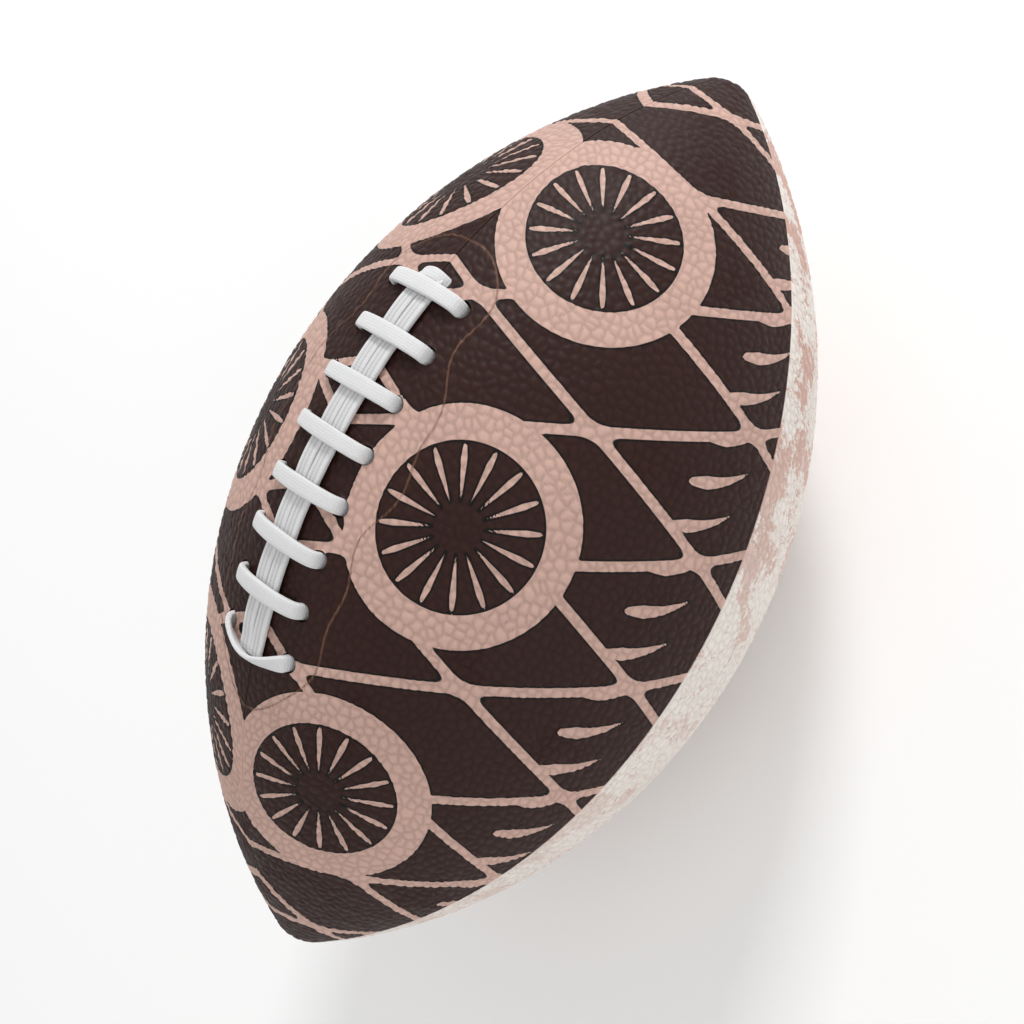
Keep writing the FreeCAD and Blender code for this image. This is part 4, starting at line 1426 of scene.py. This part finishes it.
@dataclass
class Lacing:
    """The lace: crossbars through their holes, and two ribbed strands along the seam under them."""

    outline: Outline
    rows: int = 8
    pitch: float = 14.65
    offset: float = -2.8
    spread: float = 26.0
    width: float = 4.7
    thickness: float = 1.9
    hole_radius: float = 2.7
    strand_slack: float = 0.05
    strand_thinner: float = 0.3
    bar_reach: float = 3.4
    end_lean: float = 58.0
    fold_width: float = 3.6
    fold_thickness: float = 1.8
    tail: tuple[Point3, ...] = ((-1.2, 1.6, -4.5), (-0.6, 1.9, -1.5), (0.0, 2.2, 0.5))
    tuck: tuple[Point3, ...] = ((1.2, 2.3, 1.25), (2.2, 2.1, 0.9), (2.6, 1.8, 0.1))

    def at(self, row: float) -> float:
        """How far along the ball a row of the lacing lies, counted from 0 at the -X end."""
        return self.offset + (row - (self.rows - 1) / 2) * self.pitch

    def holes(self, side: int) -> list[Hole]:
        """The lace holes in the cover on one side of the seam."""
        made = []
        for row in range(self.rows):
            turn = self.at(row) / self.outline.arc
            origin = Vector((0.0, side * self.spread / 2, -self.outline.sink))
            made.append(Hole(origin, Vector((math.sin(turn), 0.0, math.cos(turn))), self.hole_radius))
        return made

    def piece(self, name: str, swept: Swept, flipped: bool = True) -> bpy.types.Object:
        """Makes a piece of the lace.

        Args:
            name: the piece's name.
            swept: its band.
            flipped: whether its faces have to be turned over.

        Returns:
            The piece, dressed.
        """
        faces = [face[::-1] for face in swept.faces] if flipped else swept.faces
        made = make_mesh(name, swept.points, faces)
        add_attribute(made, "lace_place", swept.place * MM)
        # The groove depth is stored for the lace's painted shade.
        add_attribute(made, "hollow_shade", swept.hollow_shade)
        made.data.materials.append(WOVEN_LACE.make())
        return made

    def fasten(self, made: bpy.types.Object) -> bpy.types.Object:
        """Fastens a piece of the lace to the ball."""
        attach(made, "root")
        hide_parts("lace")
        return made

    def onto_ball(self, points: np.ndarray, along: float) -> np.ndarray:
        """Moves points from a row's own frame of sizes to its place along the ball."""
        rotate = np.array(Matrix.Rotation(along / self.outline.arc, 3, "Y"))
        placed = (points + np.array([0.0, 0.0, self.outline.arc])) @ rotate.T
        placed[:, 2] -= self.outline.sink
        return placed

    def beside(self, along: float, side: int, spots: Sequence[Point3]) -> np.ndarray:
        """Route points on one side of the seam, counted from a place along it."""
        return np.array([(along + x, side * y, z) for x, y, z in spots])

    def crossbars(self) -> bpy.types.Object:
        """Builds one crossbar and repeats it along the lacing.

        Returns:
            The finished piece.
        """
        half = self.spread / 2
        left = [
            (-half - 0.1, -5.0),
            (-half + 0.2, -1.6),
            (-half + 0.5, 0.35),
            (-half + 2.6, 1.55),
            (-5.4, 2.75),
        ]
        flat = smooth_path(mirrored(left, 0, [(0.0, 3.05)]), 110, 3)
        path = np.stack([np.zeros(len(flat)), flat[:, 0], flat[:, 1] + self.outline.arc], axis=1)
        sides = np.tile([1.0, 0.0, 0.0], (len(path), 1))
        ups = np.cross(sides, unit_rows(np.gradient(path, axis=0)))
        outer = 1 - np.exp(-((flat[:, 0] / 7.5) ** 2))
        scale = np.stack([1.0 - 0.06 * outer, 1.0 + 0.04 * outer], axis=1)
        made = self.piece("lace_crossbars", Band(self.width, self.thickness).sweep(path, sides, ups, scale))
        crossbar_tree(WOVEN_LACE.make(), self).apply(made, WOVEN_LACE.make())
        return self.fasten(made)

    def end_bar(self) -> bpy.types.Object:
        """Builds the crossbar at the -X end, which stands on edge and bows out past the strands.

        Returns:
            The finished piece.
        """
        half = self.spread / 2
        left = [
            (0.0, -half + 0.1, -5.0),
            (0.0, -half + 0.1, -1.0),
            (-0.4, -half + 0.6, 0.6),
            (-2.2, -half + 4.6, 1.5),
            (-4.2, -2.5, 2.2),
        ]
        path = smooth_path(mirrored(left, 1), 120, 3)
        ahead = unit_rows(np.gradient(path, axis=0))
        middle = np.clip(1.0 - (np.abs(path[:, 1]) / (half - 0.6)) ** 2.2, 0.0, 1.0)
        lean = np.radians(self.end_lean) * middle**0.6
        upright = unit_rows(np.cross(np.tile([1.0, 0.0, 0.0], (len(path), 1)), ahead))
        across = np.cross(ahead, upright)
        sides = across * np.cos(lean)[:, None] + upright * np.sin(lean)[:, None]
        scale = np.stack([np.ones(len(path)), 1.0 - 0.3 * middle], axis=1)
        swept = Band(self.width, self.thickness).sweep(path, sides, np.cross(sides, ahead), scale)
        swept.points = self.onto_ball(swept.points, self.at(0))
        return self.fasten(self.piece("lace_end_bar", swept))

    def strand(self, side: int, band: Band) -> Swept:
        """Builds one strand, from its tail through its run to its tuck at the other end.

        Args:
            side: 1 or -1, the side of the seam.
            band: the strand's section.

        Returns:
            The swept strand.
        """
        start, end = self.at(-0.1), self.at(self.rows - 1) + 1.4
        lows = np.linspace(start, end, 420)
        bars = np.array([self.at(row) for row in range(self.rows)])
        near = np.exp(-(((lows[:, None] - bars[None, :]) / self.bar_reach) ** 2)).max(axis=1)
        lift = 1.12 - 0.26 * near + 0.05 * np.sin(lows / 3.7 + side)
        wobble = 0.08 * np.sin(lows / 6.3 + 2 * side)
        sway = side * (self.width / 2 + 0.03 + 0.10 * (1 - near)) + wobble
        run = np.stack([lows, sway, lift], axis=1)
        entry = np.concatenate([self.beside(self.at(-0.26), side, self.tail), run[:1]])
        route = np.concatenate([smooth_path(entry, 20, 2)[:-1], run, self.beside(end, side, self.tuck)])
        path = np.array([self.outline.on_lacing(*spot) for spot in route])
        sides = np.tile([0.0, 1.0, 0.0], (len(path), 1))
        ups = unit_rows(np.cross(unit_rows(np.gradient(path, axis=0)), sides))
        squeeze = np.interp(route[:, 0], lows, near)
        scale = np.stack([1.0 + 0.02 * squeeze, 1.08 - 0.2 * squeeze], axis=1)
        swept = band.sweep(path, sides, ups, scale)
        swept.place = swept.place + np.array([0.0, side * self.width, 0.0])
        return swept

    def strands(self) -> bpy.types.Object:
        """Builds the two strands along the seam as one piece.

        Returns:
            The finished piece.
        """
        band = Band(self.width - self.strand_slack, self.thickness - self.strand_thinner, ribs=3)
        first, second = (self.strand(side, band) for side in (-1, 1))
        base = len(first.points)
        faces = first.faces + [[index + base for index in face] for face in second.faces]
        both = Swept(
            np.concatenate([first.points, second.points]),
            faces,
            np.concatenate([first.place, second.place]),
            np.concatenate([first.hollow_shade, second.hollow_shade]),
        )
        return self.fasten(self.piece("lace_strands", both, flipped=False))

    def fold(self) -> bpy.types.Object:
        """Builds the rounded fold where the strands turn back past the last crossbar.

        Returns:
            The finished piece.
        """
        corners = [
            (0.4, -4.6, -0.8),
            (0.5, -3.6, 0.9),
            (0.8, -1.2, 2.1),
            (0.6, 1.4, 1.9),
            (0.2, 3.8, 0.8),
            (0.0, 4.6, -0.8),
        ]
        path = smooth_path(np.array(corners), 60, 3)
        sides = np.tile([1.0, 0.0, 0.0], (len(path), 1))
        ups = unit_rows(np.cross(sides, unit_rows(np.gradient(path, axis=0))))
        band = Band(self.fold_width, self.fold_thickness)
        swept = band.sweep(path, sides, ups, np.ones((len(path), 2)))
        swept.points = self.onto_ball(swept.points, self.at(self.rows - 1) + 3.4)
        return self.fasten(self.piece("lace_fold", swept))


# ------------------------------------------------------------------------------------------------- stage


@dataclass(frozen=True)
class Stage:
    """The floor, the light and the camera."""

    floor_height: float
    distance: float = 455.6
    azimuth: float = 8.233
    elevation: float = 49.955
    roll: float = 27.161
    lens: float = 54.95
    shift: Point = (0.0034, 0.0089)
    floor_reach: float = 6000.0

    def floor(self) -> bpy.types.Object:
        """Lays a wide floor under the ball."""
        reach = self.floor_reach
        corners = np.array([(-reach, -reach), (reach, -reach), (reach, reach), (-reach, reach)])
        points = np.column_stack([corners, np.full(4, self.floor_height)])
        made = make_mesh("floor", points, [[0, 1, 2, 3]])
        made.data.materials.append(FloorFinish("floor_paint", 0.9, 0.1).make())
        return made

    def camera(self) -> bpy.types.Object:
        """Points the camera at the ball from the front and above, with the ball's long axis upright."""
        azimuth, elevation, roll = map(math.radians, (self.azimuth, self.elevation, self.roll))
        back = Vector(
            (
                math.sin(azimuth) * math.cos(elevation),
                -math.cos(azimuth) * math.cos(elevation),
                math.sin(elevation),
            )
        )
        right = Vector((1.0, 0.0, 0.0)).cross(back).normalized()
        up = back.cross(right)
        across = right * math.cos(roll) + up * math.sin(roll)
        upward = up * math.cos(roll) - right * math.sin(roll)
        data = bpy.data.cameras.new("camera")
        data.lens, data.sensor_width = self.lens, 36.0
        data.shift_x, data.shift_y = self.shift
        data.clip_start, data.clip_end = 0.01, 50.0
        made = bpy.data.objects.new("camera", data)
        made.matrix_world = Matrix.Translation(back * self.distance * MM) @ Matrix(
            (across, upward, back)
        ).transposed().to_4x4()
        bpy.context.scene.collection.objects.link(made)
        bpy.context.scene.camera = made
        return made

    def lamp(self, name: str, place: Point3, size: float, power: float) -> bpy.types.Object:
        """Hangs a soft square lamp that faces the ball.

        Args:
            name: the lamp's name.
            place: where it hangs, in metres.
            size: its side, in metres.
            power: its power in watts.

        Returns:
            The lamp.
        """
        data = bpy.data.lights.new(name, "AREA")
        data.shape, data.size, data.energy = "SQUARE", size, power
        made = bpy.data.objects.new(name, data)
        spot = Vector(place)
        made.matrix_world = Matrix.Translation(spot) @ spot.to_track_quat("Z", "Y").to_matrix().to_4x4()
        bpy.context.scene.collection.objects.link(made)
        return made

    def world(self, strength: float) -> None:
        """Surrounds the ball with even white light."""
        world = bpy.data.worlds.new("studio")
        world.use_nodes = True
        background = world.node_tree.nodes["Background"]
        background.inputs["Color"].default_value = (1.0, 1.0, 1.0, 1.0)
        background.inputs["Strength"].default_value = strength
        bpy.context.scene.world = world
        bpy.context.scene.view_settings.view_transform = "Standard"


def dress_cad_nodes() -> None:
    """Gives every CAD node the finish of its material slot."""
    slots = {part["node"]: part["material_slot"] for part in frame["record"]["subparts"]}
    for name, node in frame["nodes"].items():
        finish = CAD_FINISHES[slots[name]]
        node.data.materials.clear()
        node.data.materials.append(finish.make())


def main() -> None:
    """Builds the ball's visible pieces, dresses them and sets the stage."""
    logging.basicConfig(level=logging.INFO, format="%(message)s")
    _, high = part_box(Quarter.TOP_FRONT.node)
    outline = Outline(half_length=high.x / MM, belly=high.z / MM)
    stage = Stage(floor_height=-outline.belly)
    stage.camera()
    stage.floor()
    stage.lamp("key", place=(1.5, 0.35, 0.95), size=0.42, power=17.0)
    stage.lamp("fill", place=(-0.6, -1.7, 0.8), size=1.2, power=3.5)
    stage.world(strength=0.72)
    lacing = Lacing(outline)
    valve = Hole(origin=Vector((0.0, 0.0, 0.0)), axis=Vector((0.0, 1.0, -1.0)), radius=6.1)
    covers = (
        Cover(outline, Quarter.TOP_FRONT, PRINTED, lacing.holes(-1), art=SheetPrint(1)),
        Cover(outline, Quarter.TOP_BACK, PRINTED, lacing.holes(1), art=SheetPrint(-1)),
        Cover(outline, Quarter.BOTTOM_FRONT, MARBLED),
        Cover(outline, Quarter.BOTTOM_BACK, MARBLED, (valve,)),
    )
    dress_cad_nodes()
    builds = [cover.build for cover in covers]
    for build in (*builds, lacing.crossbars, lacing.end_bar, lacing.strands, lacing.fold):
        made = build()
        LOG.info("%s has %d faces", made.name, len(made.data.polygons))


if __name__ == "__main__":
    main()
